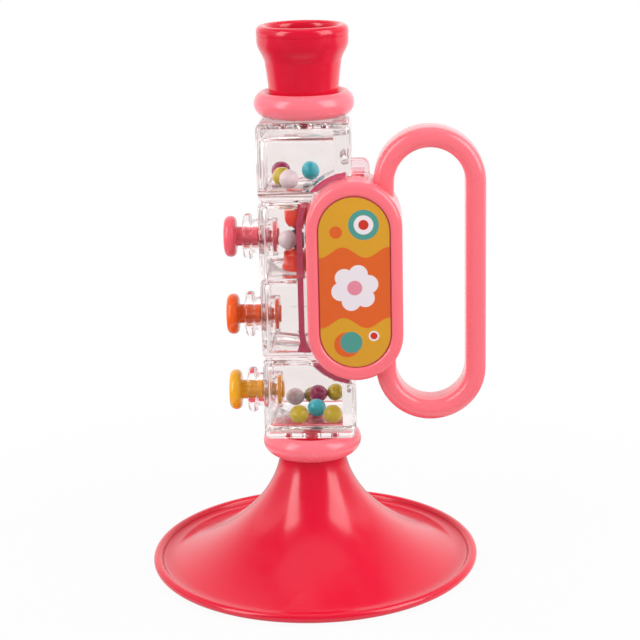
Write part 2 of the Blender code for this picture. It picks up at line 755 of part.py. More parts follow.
def body_shells():
    """Front and rear halves of the clear body, which part on the tube's middle plane."""
    solid = body_solid()
    chambers = chamber_cutters()
    bores = body_bores()
    low = BODY_BASE - CUT_OVERRUN
    high = BODY_TOP + CUT_OVERRUN
    outside = HALF_DEPTH + CUT_OVERRUN
    side = HALF_WIDTH + CUT_OVERRUN

    front = box("front_shell", (-side, -outside, low), (side, -GAP / 2, high), PARTS)
    front_columns = columns("front_column", -HALF_DEPTH + WALL / 2, -GAP / 2)
    front_half = box("front_half", (-side, -outside, low), (side, -GAP / 2, high))
    front_boss = combine(top_boss(), "INTERSECT", front_half)
    combine(front, "INTERSECT", solid)
    combine(front, "DIFFERENCE", *chambers)
    fittings = [front_boss, seat_block(), lug_solid(), turning_ball_pin()]
    combine(front, "UNION", *fittings, *front_columns)
    cuts = bores + column_bores(False) + seat_screw_bores()
    combine(front, "DIFFERENCE", seat_cutter(), lug_pocket(), *cuts)
    paint(front, "clear")

    rear = box("rear_shell", (-side, GAP / 2, low), (side, outside, high), PARTS)
    rear_columns = columns("rear_column", GAP / 2, HALF_DEPTH - WALL / 2)
    rear_half = box("rear_half", (-side, GAP / 2, low), (side, outside, high))
    rear_boss = combine(top_boss(), "INTERSECT", rear_half)
    combine(rear, "INTERSECT", solid)
    combine(rear, "DIFFERENCE", *chambers)
    combine(rear, "UNION", rear_boss, *rear_columns)
    combine(rear, "DIFFERENCE", *bores, *column_bores(True))
    paint(rear, "clear")


def bush(name, height):
    """Clear bush: flange and collar outside the wall, ledge and flange inside."""
    bore = SHAFT_RADIUS + RUNNING
    stem_bore = STEM_RADIUS + RUNNING
    profile = [
        (stem_bore, BUSH_INNER_END),
        (BUSH_INNER_FLANGE_RADIUS, BUSH_INNER_END),
        (BUSH_INNER_FLANGE_RADIUS, BUSH_INNER_START),
        (BUSH_NECK_RADIUS, BUSH_INNER_START),
        (BUSH_NECK_RADIUS, BUSH_COLLAR_END),
        (BUSH_COLLAR_RADIUS, BUSH_COLLAR_END),
        (BUSH_COLLAR_RADIUS, BUSH_FLANGE_INNER),
        (BUSH_FLANGE_RADIUS, BUSH_FLANGE_INNER - BUSH_LEDGE / 2),
        (BUSH_FLANGE_RADIUS, BUSH_FLANGE_OUTER + BUSH_LEDGE / 2),
        (BUSH_FLANGE_RADIUS - BUSH_LEDGE, BUSH_FLANGE_OUTER),
        (bore, BUSH_FLANGE_OUTER),
        (bore, SPRING_SEAT),
        (stem_bore, SPRING_SEAT),
    ]
    item = turned(f"{name}_bush", profile, VALVE_STEPS, PARTS, along_x=True)
    return paint(place(item, 0, 0, height), "clear")


def plunger(name, height, finish_name):
    """Button head, shaft and thin stem in one turned piece."""
    small = HEAD_ROUNDING / 4
    profile = [
        (0, STEM_END),
        (STEM_RADIUS, STEM_END),
        (STEM_RADIUS, PLUNGER_SHOULDER),
        (SHAFT_RADIUS, PLUNGER_SHOULDER),
        (SHAFT_RADIUS, HEAD_INNER),
        (HEAD_RADIUS - HEAD_ROUNDING, HEAD_INNER),
        (HEAD_RADIUS - small, HEAD_INNER - HEAD_ROUNDING / 2),
        (HEAD_RADIUS, HEAD_INNER - HEAD_ROUNDING),
        (HEAD_RADIUS, HEAD_OUTER + HEAD_ROUNDING),
        (HEAD_RADIUS - small, HEAD_OUTER + HEAD_ROUNDING / 2),
        (HEAD_RADIUS - HEAD_ROUNDING, HEAD_OUTER),
        (0, HEAD_OUTER),
    ]
    item = turned(f"{name}_plunger", profile, VALVE_STEPS, PARTS, along_x=True)
    return paint(place(item, 0, 0, height), finish_name)


def stem_cap(name, height, finish_name):
    """Disc pressed on the stem's end, which stops the plunger at the bush."""
    socket = STEM_RADIUS + GAP
    profile = [
        (0, CAP_END + CAP_NUB),
        (CAP_NUB_RADIUS - CAP_NUB / 2, CAP_END + CAP_NUB),
        (CAP_NUB_RADIUS, CAP_END),
        (CAP_RADIUS, CAP_END),
        (CAP_RADIUS, CAP_START),
        (socket, CAP_START),
        (socket, CAP_START + CAP_SOCKET),
        (0, CAP_START + CAP_SOCKET),
    ]
    item = turned(f"{name}_stem_cap", profile, VALVE_STEPS, PARTS, along_x=True)
    return paint(place(item, 0, 0, height), finish_name)


def spring(name, height):
    """Return spring round the thin stem, one unbroken wire."""
    radius = (SHAFT_RADIUS + RUNNING + STEM_RADIUS) / 2
    half = SPRING_WIRE / 2
    start = PLUNGER_SHOULDER + GAP + half
    end = SPRING_SEAT - GAP - half
    count = int(SPRING_TURNS * SPRING_POINTS_PER_TURN)
    curve = bpy.data.curves.new(f"{name}_spring", "CURVE")
    curve.dimensions = "3D"
    curve.bevel_depth = half
    curve.bevel_resolution = 1
    curve.use_fill_caps = True
    spline = curve.splines.new("POLY")
    spline.points.add(count)
    for index, point in enumerate(spline.points):
        share = index / count
        angle = 2 * math.pi * SPRING_TURNS * share
        point.co = (
            start + (end - start) * share,
            radius * math.cos(angle),
            radius * math.sin(angle),
            1,
        )
    item = add_object(f"{name}_spring", curve, PARTS)
    paint(item, "steel")
    pitch = (end - start) / SPRING_TURNS
    print(f"{name}_spring: least gap to itself {(pitch - SPRING_WIRE) * 1000:.2f} mm")
    return place(item, 0, 0, height)


def valves():
    colours = ("plunger_yellow", "plunger_orange", "plunger_pink")
    for name, height, colour in zip(VALVE_NAMES, VALVE_HEIGHTS, colours):
        bush(name, height)
        plunger(name, height, colour)
        stem_cap(name, height, colour)
        spring(name, height)


def housing_block(name, inset, front, rear, step, rounding=0):
    """Stadium block, cut back behind the step where the body stands behind it."""
    radius = HOUSING_RADIUS - inset
    outline = stadium(HOUSING_CENTRE_X, HOUSING_CENTRE_Z, radius, HOUSING_STRAIGHT)
    block = plate(name, [outline], front, rear, rounding)
    reach = HOUSING_HEIGHT / 2 + CUT_OVERRUN
    step_box = box(
        name + "_step",
        (HOUSING_CENTRE_X - HOUSING_RADIUS - CUT_OVERRUN, step, HOUSING_CENTRE_Z - reach),
        (HOUSING_SIDE + inset, HOUSING_REAR + CUT_OVERRUN, HOUSING_CENTRE_Z + reach),
    )
    return combine(block, "DIFFERENCE", step_box)


def housing_solid():
    """Outer form of the housing with the handle loop."""
    block = housing_block(
        "housing_block",
        0,
        -HOUSING_FRONT,
        HOUSING_REAR,
        HOUSING_SHALLOW_REAR,
        HOUSING_ROUNDING,
    )
    return combine(block, "UNION", handle_loop())


def handle_loop():
    half_width = HANDLE_WIDTH / 2
    straight = HANDLE_HEIGHT / 2 - half_width
    outer = stadium(HANDLE_CENTRE_X, HOUSING_CENTRE_Z, half_width, straight)
    inner = stadium(HANDLE_CENTRE_X, HOUSING_CENTRE_Z, half_width - HANDLE_BAR, straight)
    front = -PARTING_Y - HANDLE_DEPTH / 2
    return plate("handle_loop", [outer, inner[::-1]], front, front + HANDLE_DEPTH, HANDLE_ROUNDING)


def housing_hollow():
    """Space inside the housing: wide in front, deeper beside the body."""
    return housing_block(
        "housing_hollow",
        HOUSING_WALL,
        FRONT_PLATE_INNER,
        HOUSING_REAR - HOUSING_WALL,
        HOUSING_SHALLOW_REAR - HOUSING_WALL,
    )


def half_space(name, front, rear, collection):
    """A box round the whole housing and handle between two Y planes."""
    left = HOUSING_CENTRE_X - HOUSING_RADIUS - CUT_OVERRUN
    right = HANDLE_CENTRE_X + HANDLE_WIDTH / 2 + CUT_OVERRUN
    reach = HANDLE_HEIGHT / 2 + CUT_OVERRUN
    low = (left, front, HOUSING_CENTRE_Z - reach)
    return box(name, low, (right, rear, HOUSING_CENTRE_Z + reach), collection)


def posts(name, places, front, rear, radius, steps):
    """Rods along Y at a list of places in X and Z."""
    return [
        rod(f"{name}_{index}", radius, (x, front, z), (x, rear, z), steps)
        for index, (x, z) in enumerate(places)
    ]


def seat_screw_bores():
    """Holes in the seat's back for the screws that hold the housing."""
    front = SEAT_FLOOR - CUT_OVERRUN
    rear = SEAT_REAR + CUT_OVERRUN
    return posts("seat_bore", SEAT_SCREWS, front, rear, SCREW_BORE, SCREW_STEPS)


def front_housing(solid, hollow):
    """Bezel moulding with the front half of the handle and two blind posts."""
    outside = -HOUSING_FRONT - CUT_OVERRUN
    root = FRONT_PLATE_INNER - HOUSING_WALL / 2
    item = half_space("front_housing", outside, PARTING_FRONT, PARTS)
    combine(item, "INTERSECT", solid)
    combine(item, "DIFFERENCE", hollow)
    bosses = posts("front_boss", HOUSING_SCREWS, root, PARTING_FRONT, BOSS_RADIUS, VALVE_STEPS)
    combine(item, "UNION", *bosses)
    recess = plate("label_recess", [label_outline(0)], outside, -HOUSING_FRONT + LABEL_RECESS)
    combine(item, "DIFFERENCE", recess)
    bottom = FRONT_PLATE_INNER + HOUSING_WALL
    end = PARTING_FRONT + CUT_OVERRUN
    bores = posts("front_bore", HOUSING_SCREWS, bottom, end, SCREW_BORE, SCREW_STEPS)
    combine(item, "DIFFERENCE", *bores)
    paint(item, "coral")


def rear_housing(solid, hollow):
    """Cover moulding with the rear half of the handle, the posts and the lug's peg."""
    outside = HOUSING_REAR + CUT_OVERRUN
    item = half_space("rear_housing", PARTING_REAR, outside, PARTS)
    combine(item, "INTERSECT", solid)
    combine(item, "DIFFERENCE", hollow)
    root = HOUSING_REAR - HOUSING_WALL / 2
    bosses = posts("rear_boss", HOUSING_SCREWS, PARTING_REAR, root, BOSS_RADIUS, VALVE_STEPS)
    root = HOUSING_SHALLOW_REAR - HOUSING_WALL / 2
    bosses += posts("seat_boss", SEAT_SCREWS, PARTING_REAR, root, BOSS_RADIUS, VALVE_STEPS)
    combine(item, "UNION", lug_peg(), *bosses)
    start = PARTING_REAR - CUT_OVERRUN
    bores = posts("rear_screw_bore", HOUSING_SCREWS, start, outside, SCREW_BORE, SCREW_STEPS)
    head = HOUSING_REAR - SCREW_HEAD - GAP
    bores += posts("head_seat", HOUSING_SCREWS, head, outside, SCREW_HEAD_RADIUS + GAP, SCREW_STEPS)
    bottom = PARTING_REAR + HOUSING_WALL / 2
    end = HOUSING_SHALLOW_REAR + CUT_OVERRUN
    bores += posts("seat_socket", SEAT_SCREWS, bottom, end, SCREW_BORE, SCREW_STEPS)
    combine(item, "DIFFERENCE", *bores)
    paint(item, "coral")


def label_outline(inset):
    radius = HOUSING_RADIUS - LABEL_RIM - inset
    return stadium(HOUSING_CENTRE_X, HOUSING_CENTRE_Z, radius, HOUSING_STRAIGHT)


def housing():
    """Two mouldings, each with half of the handle, and the label plate."""
    solid = housing_solid()
    hollow = housing_hollow()
    front_housing(solid, hollow)
    rear_housing(solid, hollow)
    back = -HOUSING_FRONT + LABEL_RECESS - GAP
    front = back - LABEL_THICKNESS
    label = plate("label_plate", [label_outline(GAP)], front, back, collection=PARTS)
    paint(label, "label")


def lug_peg():
    """Peg that stands on top of the housing inside the body's lug."""
    half = LUG_THICKNESS / 2 - LUG_WALL - GAP
    start = HALF_WIDTH + LUG_PEG_INSET
    return box(
        "lug_peg",
        (start, -LUG_Y - half, HOUSING_TOP - HOUSING_WALL),
        (start + LUG_PEG_WIDTH, -LUG_Y + half, LUG_BASE + LUG_PEG_HEIGHT),
    )


def screw(name, x, z, face, length):
    """Pan-head screw that points to -Y, with its head's underside at Y = face."""
    profile = [
        (0, SCREW_HEAD),
        (SCREW_HEAD_RADIUS - SCREW_HEAD / 3, SCREW_HEAD),
        (SCREW_HEAD_RADIUS, SCREW_HEAD / 2),
        (SCREW_HEAD_RADIUS, 0),
        (SCREW_SHANK_RADIUS, 0),
        (SCREW_SHANK_RADIUS, -length),
        (0, -length),
    ]
    item = turned(name, profile, SCREW_STEPS, PARTS)
    item.rotation_euler = (-math.pi / 2, 0, 0)
    paint(place(item, x, face, z), "steel")


def screws():
    housing_face = HOUSING_REAR - SCREW_HEAD
    housing_length = housing_face - FRONT_PLATE_INNER - HOUSING_WALL - GAP
    body_face = HALF_DEPTH - SCREW_HEAD
    body_length = body_face + COLUMN_SCREW_DEPTH
    seat_face = SEAT_REAR + GAP
    seat_length = seat_face - PARTING_REAR - HOUSING_WALL / 2 - GAP
    groups = (
        ("housing_screw", HOUSING_SCREWS, housing_face, housing_length),
        ("body_screw", COLUMN_SCREWS, body_face, body_length),
        ("seat_screw", SEAT_SCREWS, seat_face, seat_length),
    )
    for name, places, face, length in groups:
        for side, (x, z) in zip(("lower", "upper"), places):
            screw(f"{name}_{side}", x, z, face, length)


def spool():
    """Two cups with a ball between them on an upright axle."""
    bore = SPOOL_AXLE_RADIUS + GAP
    x, y = SPOOL_CENTRE
    dome = arc((0, 0), 1, 0, -70, 5)
    rim = SPOOL_DOME_BOTTOM + SPOOL_DOME
    upper_top = SPOOL_DOME_BOTTOM + SPOOL_UPPER_HEIGHT
    chamfer = SPOOL_LIP / 2
    upper = [(bore, upper_top), (SPOOL_RIM_RADIUS - chamfer, upper_top)]
    upper += [(SPOOL_RIM_RADIUS, upper_top - chamfer)]
    upper += [(SPOOL_RIM_RADIUS * share, rim + SPOOL_DOME * drop) for share, drop in dome]
    upper += [(bore, SPOOL_DOME_BOTTOM)]
    item = turned("spool_upper_cup", upper, SPOOL_STEPS, PARTS)
    paint(place(item, x, y, 0), "red_orange")

    top = SPOOL_LOWER_TOP
    lip = SPOOL_FLOOR + SPOOL_LIP
    shoulder = arc((0, 0), 1, 80, 0, 4)
    flat = SPOOL_LOWER_RADIUS * SPOOL_SHOULDER_FLAT_SHARE
    lower = [(bore, top)]
    lower += [
        (flat + (SPOOL_LOWER_RADIUS - flat) * share, top - SPOOL_SHOULDER * (1 - rise))
        for share, rise in shoulder
    ]
    lower += [(SPOOL_LOWER_RADIUS, lip + chamfer), (SPOOL_LIP_RADIUS, lip)]
    lower += [(SPOOL_LIP_RADIUS, SPOOL_FLOOR), (bore, SPOOL_FLOOR)]
    item = turned("spool_lower_cup", lower, SPOOL_STEPS, PARTS)
    paint(place(item, x, y, 0), "red_orange")

    axle = SPOOL_AXLE_RADIUS
    cap = math.degrees(math.acos(axle / SPOOL_BALL_RADIUS))
    high = CEILINGS[2] + SPOOL_AXLE_DEPTH
    low = FLOORS[2] - SPOOL_AXLE_DEPTH
    profile = [(0, high), (axle, high)]
    profile += arc((0, SPOOL_BALL_Z), SPOOL_BALL_RADIUS, cap, -cap, 8)
    profile += [(axle, low), (0, low)]
    item = turned("spool_axle", profile, SPOOL_STEPS, PARTS)
    paint(place(item, x, y, 0), "grey")


def ball(name, centre, colour):
    shape = bmesh.new()
    bmesh.ops.create_uvsphere(
        shape, u_segments=BEAD_SEGMENTS, v_segments=BEAD_RINGS, radius=BEAD_RADIUS
    )
    item = from_bmesh(name, shape, PARTS)
    return paint(place(item, *centre), colour)


def beads():
    """Loose rattle balls, and the white ball with the blind bore for its pin."""
    for name, section, (x_share, y_share, lift_share), colour in BEAD_PLACE_SHARES:
        x = x_share * (INNER_X - BEAD_RADIUS)
        y = y_share * (INNER_Y - BEAD_RADIUS)
        z = FLOORS[section] + GAP + BEAD_RADIUS * (1 + 2 * lift_share)
        ball(name, (x, y, z), colour)
    x, y, z = TURNING_BALL
    start = (x + BEAD_RADIUS + CUT_OVERRUN, y, z)
    end = (x + BEAD_RADIUS - TURNING_PIN_DEPTH - GAP, y, z)
    bore = rod("turning_ball_bore", TURNING_PIN_RADIUS + RUNNING, start, end, SCREW_STEPS)
    combine(ball("turning_ball", TURNING_BALL, "white"), "DIFFERENCE", bore)


clear_scene()
PARTS = new_collection("toy_trumpet")
CUTTERS = new_collection("cutters")

bell()
ring("bottom_ring", BOTTOM_RING_RADIUS, BODY_BASE - GAP - RING_THICKNESS, "rose")
body_shells()
ring("top_ring", TOP_RING_RADIUS, BODY_TOP + GAP, "rose")
mouthpiece()
valves()
housing()
screws()
spool()
beads()
for part in PARTS.objects:
    if part.type == "MESH":
        shade(part)
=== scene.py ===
"""Looks of the toy trumpet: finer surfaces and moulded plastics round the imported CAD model."""

import json
import math

import bmesh
import bpy
from mathutils import Matrix, Vector
from mathutils.geometry import interpolate_bezier

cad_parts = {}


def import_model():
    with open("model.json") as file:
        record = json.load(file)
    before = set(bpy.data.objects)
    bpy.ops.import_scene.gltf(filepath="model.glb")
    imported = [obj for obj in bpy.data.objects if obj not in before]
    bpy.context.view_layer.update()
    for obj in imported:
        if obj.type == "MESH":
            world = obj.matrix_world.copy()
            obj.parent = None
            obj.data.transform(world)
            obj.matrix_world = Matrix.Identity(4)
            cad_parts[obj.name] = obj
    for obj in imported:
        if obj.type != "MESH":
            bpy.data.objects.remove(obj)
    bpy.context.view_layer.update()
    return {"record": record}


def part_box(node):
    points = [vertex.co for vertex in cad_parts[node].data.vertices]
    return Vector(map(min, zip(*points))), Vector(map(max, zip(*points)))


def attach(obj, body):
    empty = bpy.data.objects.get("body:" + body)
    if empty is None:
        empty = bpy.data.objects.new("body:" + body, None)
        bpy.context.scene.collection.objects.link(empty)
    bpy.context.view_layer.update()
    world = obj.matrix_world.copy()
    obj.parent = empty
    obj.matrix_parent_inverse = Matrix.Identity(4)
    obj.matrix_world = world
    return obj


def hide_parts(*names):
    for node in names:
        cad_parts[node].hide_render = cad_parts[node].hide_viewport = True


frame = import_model()

MM = 0.001
GAP = 0.3
RECORD = frame["record"]
BODY_OF = {node: body for body, nodes in RECORD["behaviour"]["bodies"].items() for node in nodes}
SLOT_OF = {row["node"]: row["material_slot"] for row in RECORD["subparts"]}

# Sizes in millimetres, as in the CAD source where the two share them

# Bell
BELL_HEIGHT = 61.7
BELL_WALL = 2
BELL_CURVE_POINTS = 49

# Clear body, with the spigots and pegs that join it to the bell and the mouthpiece
BODY_BASE = 62.0
SECTION_HEIGHTS = (35.9, 34.7, 32.9, 32.6)
SECTION_BASES = tuple(BODY_BASE + sum(SECTION_HEIGHTS[:i]) for i in range(4))
BODY_TOP = BODY_BASE + sum(SECTION_HEIGHTS)
HALF = 19.5
WALL = 2.2
INNER = HALF - WALL
ROUNDING = 2.8
NOTCH = 1.5
END_PLATE = 2.6
TOP_VOID = 3.3
BOTTOM_VOID = 1.8
FLOORS = tuple(b + r for b, r in zip(SECTION_BASES, (5.6, 2.4, -0.1, 3.6)))
CEILINGS = tuple(
    b + h - d for b, h, d in zip(SECTION_BASES, SECTION_HEIGHTS, (2.8, 2.1, 2.4, 6.5))
)
SPIGOT_RADIUS = 4.0
SPIGOT_END_RADIUS = 4.8
PEG_X = 9.7
PEG_RADIUS = 1.5
PEG_HOLE_RADIUS = 1.8

# Valves
VALVES = tuple(zip(("lower", "middle", "upper"), (79.0, 113.1, 147.2)))
BUSH_HOLE_RADIUS = 6.3
STEM_RADIUS = 4.1
THIN_STEM_RADIUS = 2.7
STEM_SHOULDER = -20.8
SPRING_SEAT = -15.5
WIRE_RADIUS = 0.225

# Housing and handle
HOUSING_X = 20.25
HOUSING_Z = SECTION_BASES[2] + 0.2
HOUSING_RADIUS = 19.9
HOUSING_HALF_HEIGHT = 42.3
HOUSING_STRAIGHT = HOUSING_HALF_HEIGHT - HOUSING_RADIUS
HOUSING_ROUNDING = 2.6
HOUSING_FRONT = -27.5
HOUSING_REAR = -0.5
SHALLOW_REAR = -9.2
PARTING = -13.6
HANDLE_X = HOUSING_X + 31.35
HANDLE_HALF = 23.15
HANDLE_HALF_HEIGHT = 62.55
HANDLE_STRAIGHT = HANDLE_HALF_HEIGHT - HANDLE_HALF
HANDLE_BAR = 8.5
HANDLE_FRONT = PARTING - 6.25
HANDLE_REAR = PARTING + 10.45  # deeper than in the CAD source, as the photo shows
HANDLE_ROUNDING = 3.6

# Seat of the housing in the front shell, and the skirt round it
SEAT_FLOOR = SHALLOW_REAR + GAP
SEAT_REAR = SEAT_FLOOR + 1.8
SEAT_RADIUS = HOUSING_RADIUS + 0.9
SEAT_WALL = 2.2
SEAT_LEDGE = 3.6
SKIRT_RADIUS = HOUSING_RADIUS + 4.1
SKIRT_WIDTH = 2.4
SKIRT_DROP = 0.8
SKIRT_GAP = 0.1
SKIRT_FRONT = -HALF + WALL + GAP
SKIRT_REAR = SKIRT_FRONT + 1.6

# Screws, and the columns at the right side of the clear body
HOUSING_SCREWS = tuple((HOUSING_X + 10.25, HOUSING_Z + s * 18.5) for s in (-1, 1))
SEAT_SCREWS = tuple((HOUSING_X - 11.25, HOUSING_Z + s * 16.5) for s in (-1, 1))
COLUMN_WIDTHS = (3.4, 4.9)
COLUMN_SECTIONS = (0, 3)
COLUMN_SCREWS = tuple(
    (HALF - (w + WALL) / 2, (FLOORS[i] + CEILINGS[i]) / 2)
    for w, i in zip(COLUMN_WIDTHS, COLUMN_SECTIONS)
)
SCREW_HOLE_RADIUS = 1.1
SCREW_SEAT_RADIUS = 2.6
SCREW_SEAT_DEPTH = 1.7
SCREW_HEAD_HEIGHT = 1.4

# Spool, balls and the moulding mark of the front wall
GATE_MARK = (8.1, 188.6)
SPOOL = (-4.0, 0.7)
SPOOL_BALL_RADIUS = 4.0
SPOOL_AXLE_RADIUS = 1.2
SPOOL_HOLE_RADIUS = 1.45
BEAD_RADIUS = 4.0
TURNING_BALL_YZ = (-10.3, 147.9)

# Label
LABEL_RADIUS = 14.9
LABEL_STRAIGHT = 21.4
LABEL_DEPTH = 1.2

# Heights that the clear body and the housing lie between, for the boxes that cut them
BELOW, ABOVE = 60, 210

# Steps round each rounded corner of a profile and round each end of a stadium
CORNER_STEPS = 6
ARC_STEPS = 48


# Shape helpers, in millimetres until a piece is finished

def new_piece(name, shape):
    mesh = bpy.data.meshes.new(name)
    bmesh.ops.recalc_face_normals(shape, faces=shape.faces)
    shape.to_mesh(mesh)
    shape.free()
    item = bpy.data.objects.new(name, mesh)
    bpy.context.scene.collection.objects.link(item)
    return item


def soften(points, closed=False):
    """A profile of (x, y) or (x, y, radius) points with its corners rounded by their radius."""
    out = []
    count = len(points)
    for index, point in enumerate(points):
        x, y = point[:2]
        radius = point[2] if len(point) > 2 else 0
        if radius <= 0 or (not closed and index in (0, count - 1)):
            out.append((x, y))
            continue
        corner = Vector((x, y))
        before = Vector(points[index - 1][:2]) - corner
        after = Vector(points[(index + 1) % count][:2]) - corner
        half = before.angle(after) / 2
        cut = min(radius / math.tan(half), 0.49 * before.length, 0.49 * after.length)
        radius = cut * math.tan(half)
        centre = corner + (before.normalized() + after.normalized()).normalized() * (
            radius / math.sin(half)
        )
        start = corner + before.normalized() * cut - centre
        end = corner + after.normalized() * cut - centre
        first = math.atan2(start.y, start.x)
        turn = (math.atan2(end.y, end.x) - first + math.pi) % (2 * math.pi) - math.pi
        for step in range(CORNER_STEPS + 1):
            angle = first + turn * step / CORNER_STEPS
            out.append((centre.x + radius * math.cos(angle), centre.y + radius * math.sin(angle)))
    return out


def arc(cx, cy, radius, start, end, count):
    """Points on a circle from one angle in degrees to another."""
    angles = [math.radians(start + (end - start) * i / count) for i in range(count + 1)]
    return [(cx + radius * math.cos(a), cy + radius * math.sin(a)) for a in angles]


def lathe(name, profile, steps=128, centre=(0, 0, 0), along_x=False):
    """Turn a profile of (radius, height) round Z, or round X, through a centre."""
    shape = bmesh.new()
    rings = []
    for radius, height in profile:
        count = 1 if radius < 1e-6 else steps
        ring = []
        for i in range(count):
            angle = 2 * math.pi * i / steps
            x, y, z = radius * math.cos(angle), radius * math.sin(angle), height
            if along_x:
                x, y, z = z, y, -x
            ring.append(shape.verts.new(Vector((x, y, z)) + Vector(centre)))
        rings.append(ring)
    pairs = list(zip(rings, rings[1:]))
    if profile[0][0] > 1e-6:
        pairs.append((rings[-1], rings[0]))
    for a, b in pairs:
        for i in range(steps):
            j = (i + 1) % steps
            corners = [a[i % len(a)], b[i % len(b)], b[j % len(b)], a[j % len(a)]]
            unique = [v for k, v in enumerate(corners) if v not in corners[:k]]
            if len(unique) > 2:
                shape.faces.new(unique)
    return new_piece(name, shape)


def sphere(radius, count, ridge=0.0):
    """Profile of a ball, with a ridge round its middle if one is given."""
    angles = [math.radians(90 - 180 * i / count) for i in range(count + 1)]
    profile = [
        (radius * math.cos(a) + ridge * math.exp(-((a / 0.02) ** 2)), radius * math.sin(a))
        for a in angles
    ]
    profile[0], profile[-1] = (0, radius), (0, -radius)
    return profile


def stadium(cx, cz, radius, straight):
    upper = arc(cx, cz + straight, radius, 0, 180, ARC_STEPS)
    lower = arc(cx, cz - straight, radius, 180, 360, ARC_STEPS)
    return upper + lower


def plate(name, outlines, front, rear, rounding=0.0, fineness=5):
    """Outlines in X and Z as a solid from one Y to another; a hole runs the other way round."""
    curve = bpy.data.curves.new(name, "CURVE")
    curve.dimensions = "2D"
    curve.fill_mode = "BOTH"
    curve.extrude = (rear - front) / 2 - rounding
    curve.bevel_depth = rounding
    curve.bevel_resolution = fineness
    curve.offset = -rounding
    for outline in outlines:
        spline = curve.splines.new("POLY")
        spline.points.add(len(outline) - 1)
        for point, (x, z) in zip(spline.points, outline):
            point.co = (x, z, 0, 1)
        spline.use_cyclic_u = True
    guide = bpy.data.objects.new(name + "_guide", curve)
    bpy.context.scene.collection.objects.link(guide)
    bpy.context.view_layer.update()
    evaluated = guide.evaluated_get(bpy.context.evaluated_depsgraph_get())
    mesh = bpy.data.meshes.new_from_object(evaluated)
    bpy.data.objects.remove(guide)
    shape = bmesh.new()
    shape.from_mesh(mesh)
    bmesh.ops.remove_doubles(shape, verts=shape.verts, dist=0.005)
    middle = (front + rear) / 2
    for vertex in shape.verts:
        x, z, depth = vertex.co
        vertex.co = (x, middle - depth, z)
    if rounding:
        bmesh.ops.dissolve_limit(shape, angle_limit=0.002, verts=shape.verts, edges=shape.edges)
    return new_piece(name, shape)


def track(name, profile):
    """Carry a closed profile of (distance, y) round the housing's outline."""
    shape = bmesh.new()
    rings = []
    for side, start in ((1, 0), (-1, 180)):
        for step in range(ARC_STEPS + 1):
            angle = math.radians(start + 180 * step / ARC_STEPS)
            rings.append([
                shape.verts.new((
                    HOUSING_X + radius * math.cos(angle),
                    y,
                    HOUSING_Z + side * LABEL_STRAIGHT + radius * math.sin(angle),
                ))
                for radius, y in profile
            ])
    for a, b in zip(rings, rings[1:] + rings[:1]):
        for k in range(len(profile)):
            m = (k + 1) % len(profile)
            shape.faces.new((a[k], a[m], b[m], b[k]))
    return new_piece(name, shape)


def box(name, low, high, rounding=0.0, segments=5):
    shape = bmesh.new()
    bmesh.ops.create_cube(shape, size=1)
    for vertex in shape.verts:
        vertex.co = [(a + b) / 2 + c * (b - a) for a, b, c in zip(low, high, vertex.co)]
    if rounding:
        bmesh.ops.bevel(
            shape,
            geom=shape.edges[:],
            offset=rounding,
            segments=segments,
            profile=0.5,
            affect="EDGES",
        )
    return new_piece(name, shape)


def rod(name, radius, start, end, steps=48, end_radius=None):
    """A round bar between two points that share two coordinates."""
    axis = max(range(3), key=lambda i: abs(end[i] - start[i]))
    radii = (radius, end_radius or radius)
    if end[axis] < start[axis]:
        radii = radii[::-1]
    shape = bmesh.new()
    bmesh.ops.create_cone(
        shape,
        cap_ends=True,
        segments=steps,
        radius1=radii[0],
        radius2=radii[1],
        depth=abs(end[axis] - start[axis]),
    )
    middle = Vector([(a + b) / 2 for a, b in zip(start, end)])
    for vertex in shape.verts:
        x, y, z = vertex.co
        vertex.co = middle + Vector(((z, y, -x), (x, z, -y), (x, y, z))[axis])
    return new_piece(name, shape)


def combine(item, operation, *others):
    """Apply Booleans with other pieces, which are used up."""
    for other in others:
        step = item.modifiers.new("step", "BOOLEAN")
        step.operation = operation
        step.solver = "EXACT"
        step.object = other
    bake(item)
    for other in others:
        bpy.data.objects.remove(other)
    return item


def bake(item):
    """Replace the mesh by what its modifiers make of it."""
    bpy.context.view_layer.update()
    evaluated = item.evaluated_get(bpy.context.evaluated_depsgraph_get())
    mesh = bpy.data.meshes.new_from_object(evaluated)
    item.modifiers.clear()
    item.data = mesh


def copy_of(item):
    twin = bpy.data.objects.new(item.name + "_twin", item.data.copy())
    bpy.context.scene.collection.objects.link(twin)
    return twin


def centre_of(node):
    low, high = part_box(node)
    return (low + high) / 2 * 1000


def finish(item, material, *nodes, body=None, slot=None, degrees=35):
    """Scale a piece to metres, give it its material and say what it stands for."""
    item.data.transform(Matrix.Scale(MM, 4))
    item.data.shade_smooth()
    item.data.set_sharp_from_angle(angle=math.radians(degrees))
    item.data.materials.clear()
    item.data.materials.append(material)
    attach(item, body or BODY_OF[nodes[0]])
    if nodes:
        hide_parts(*nodes)


# Materials

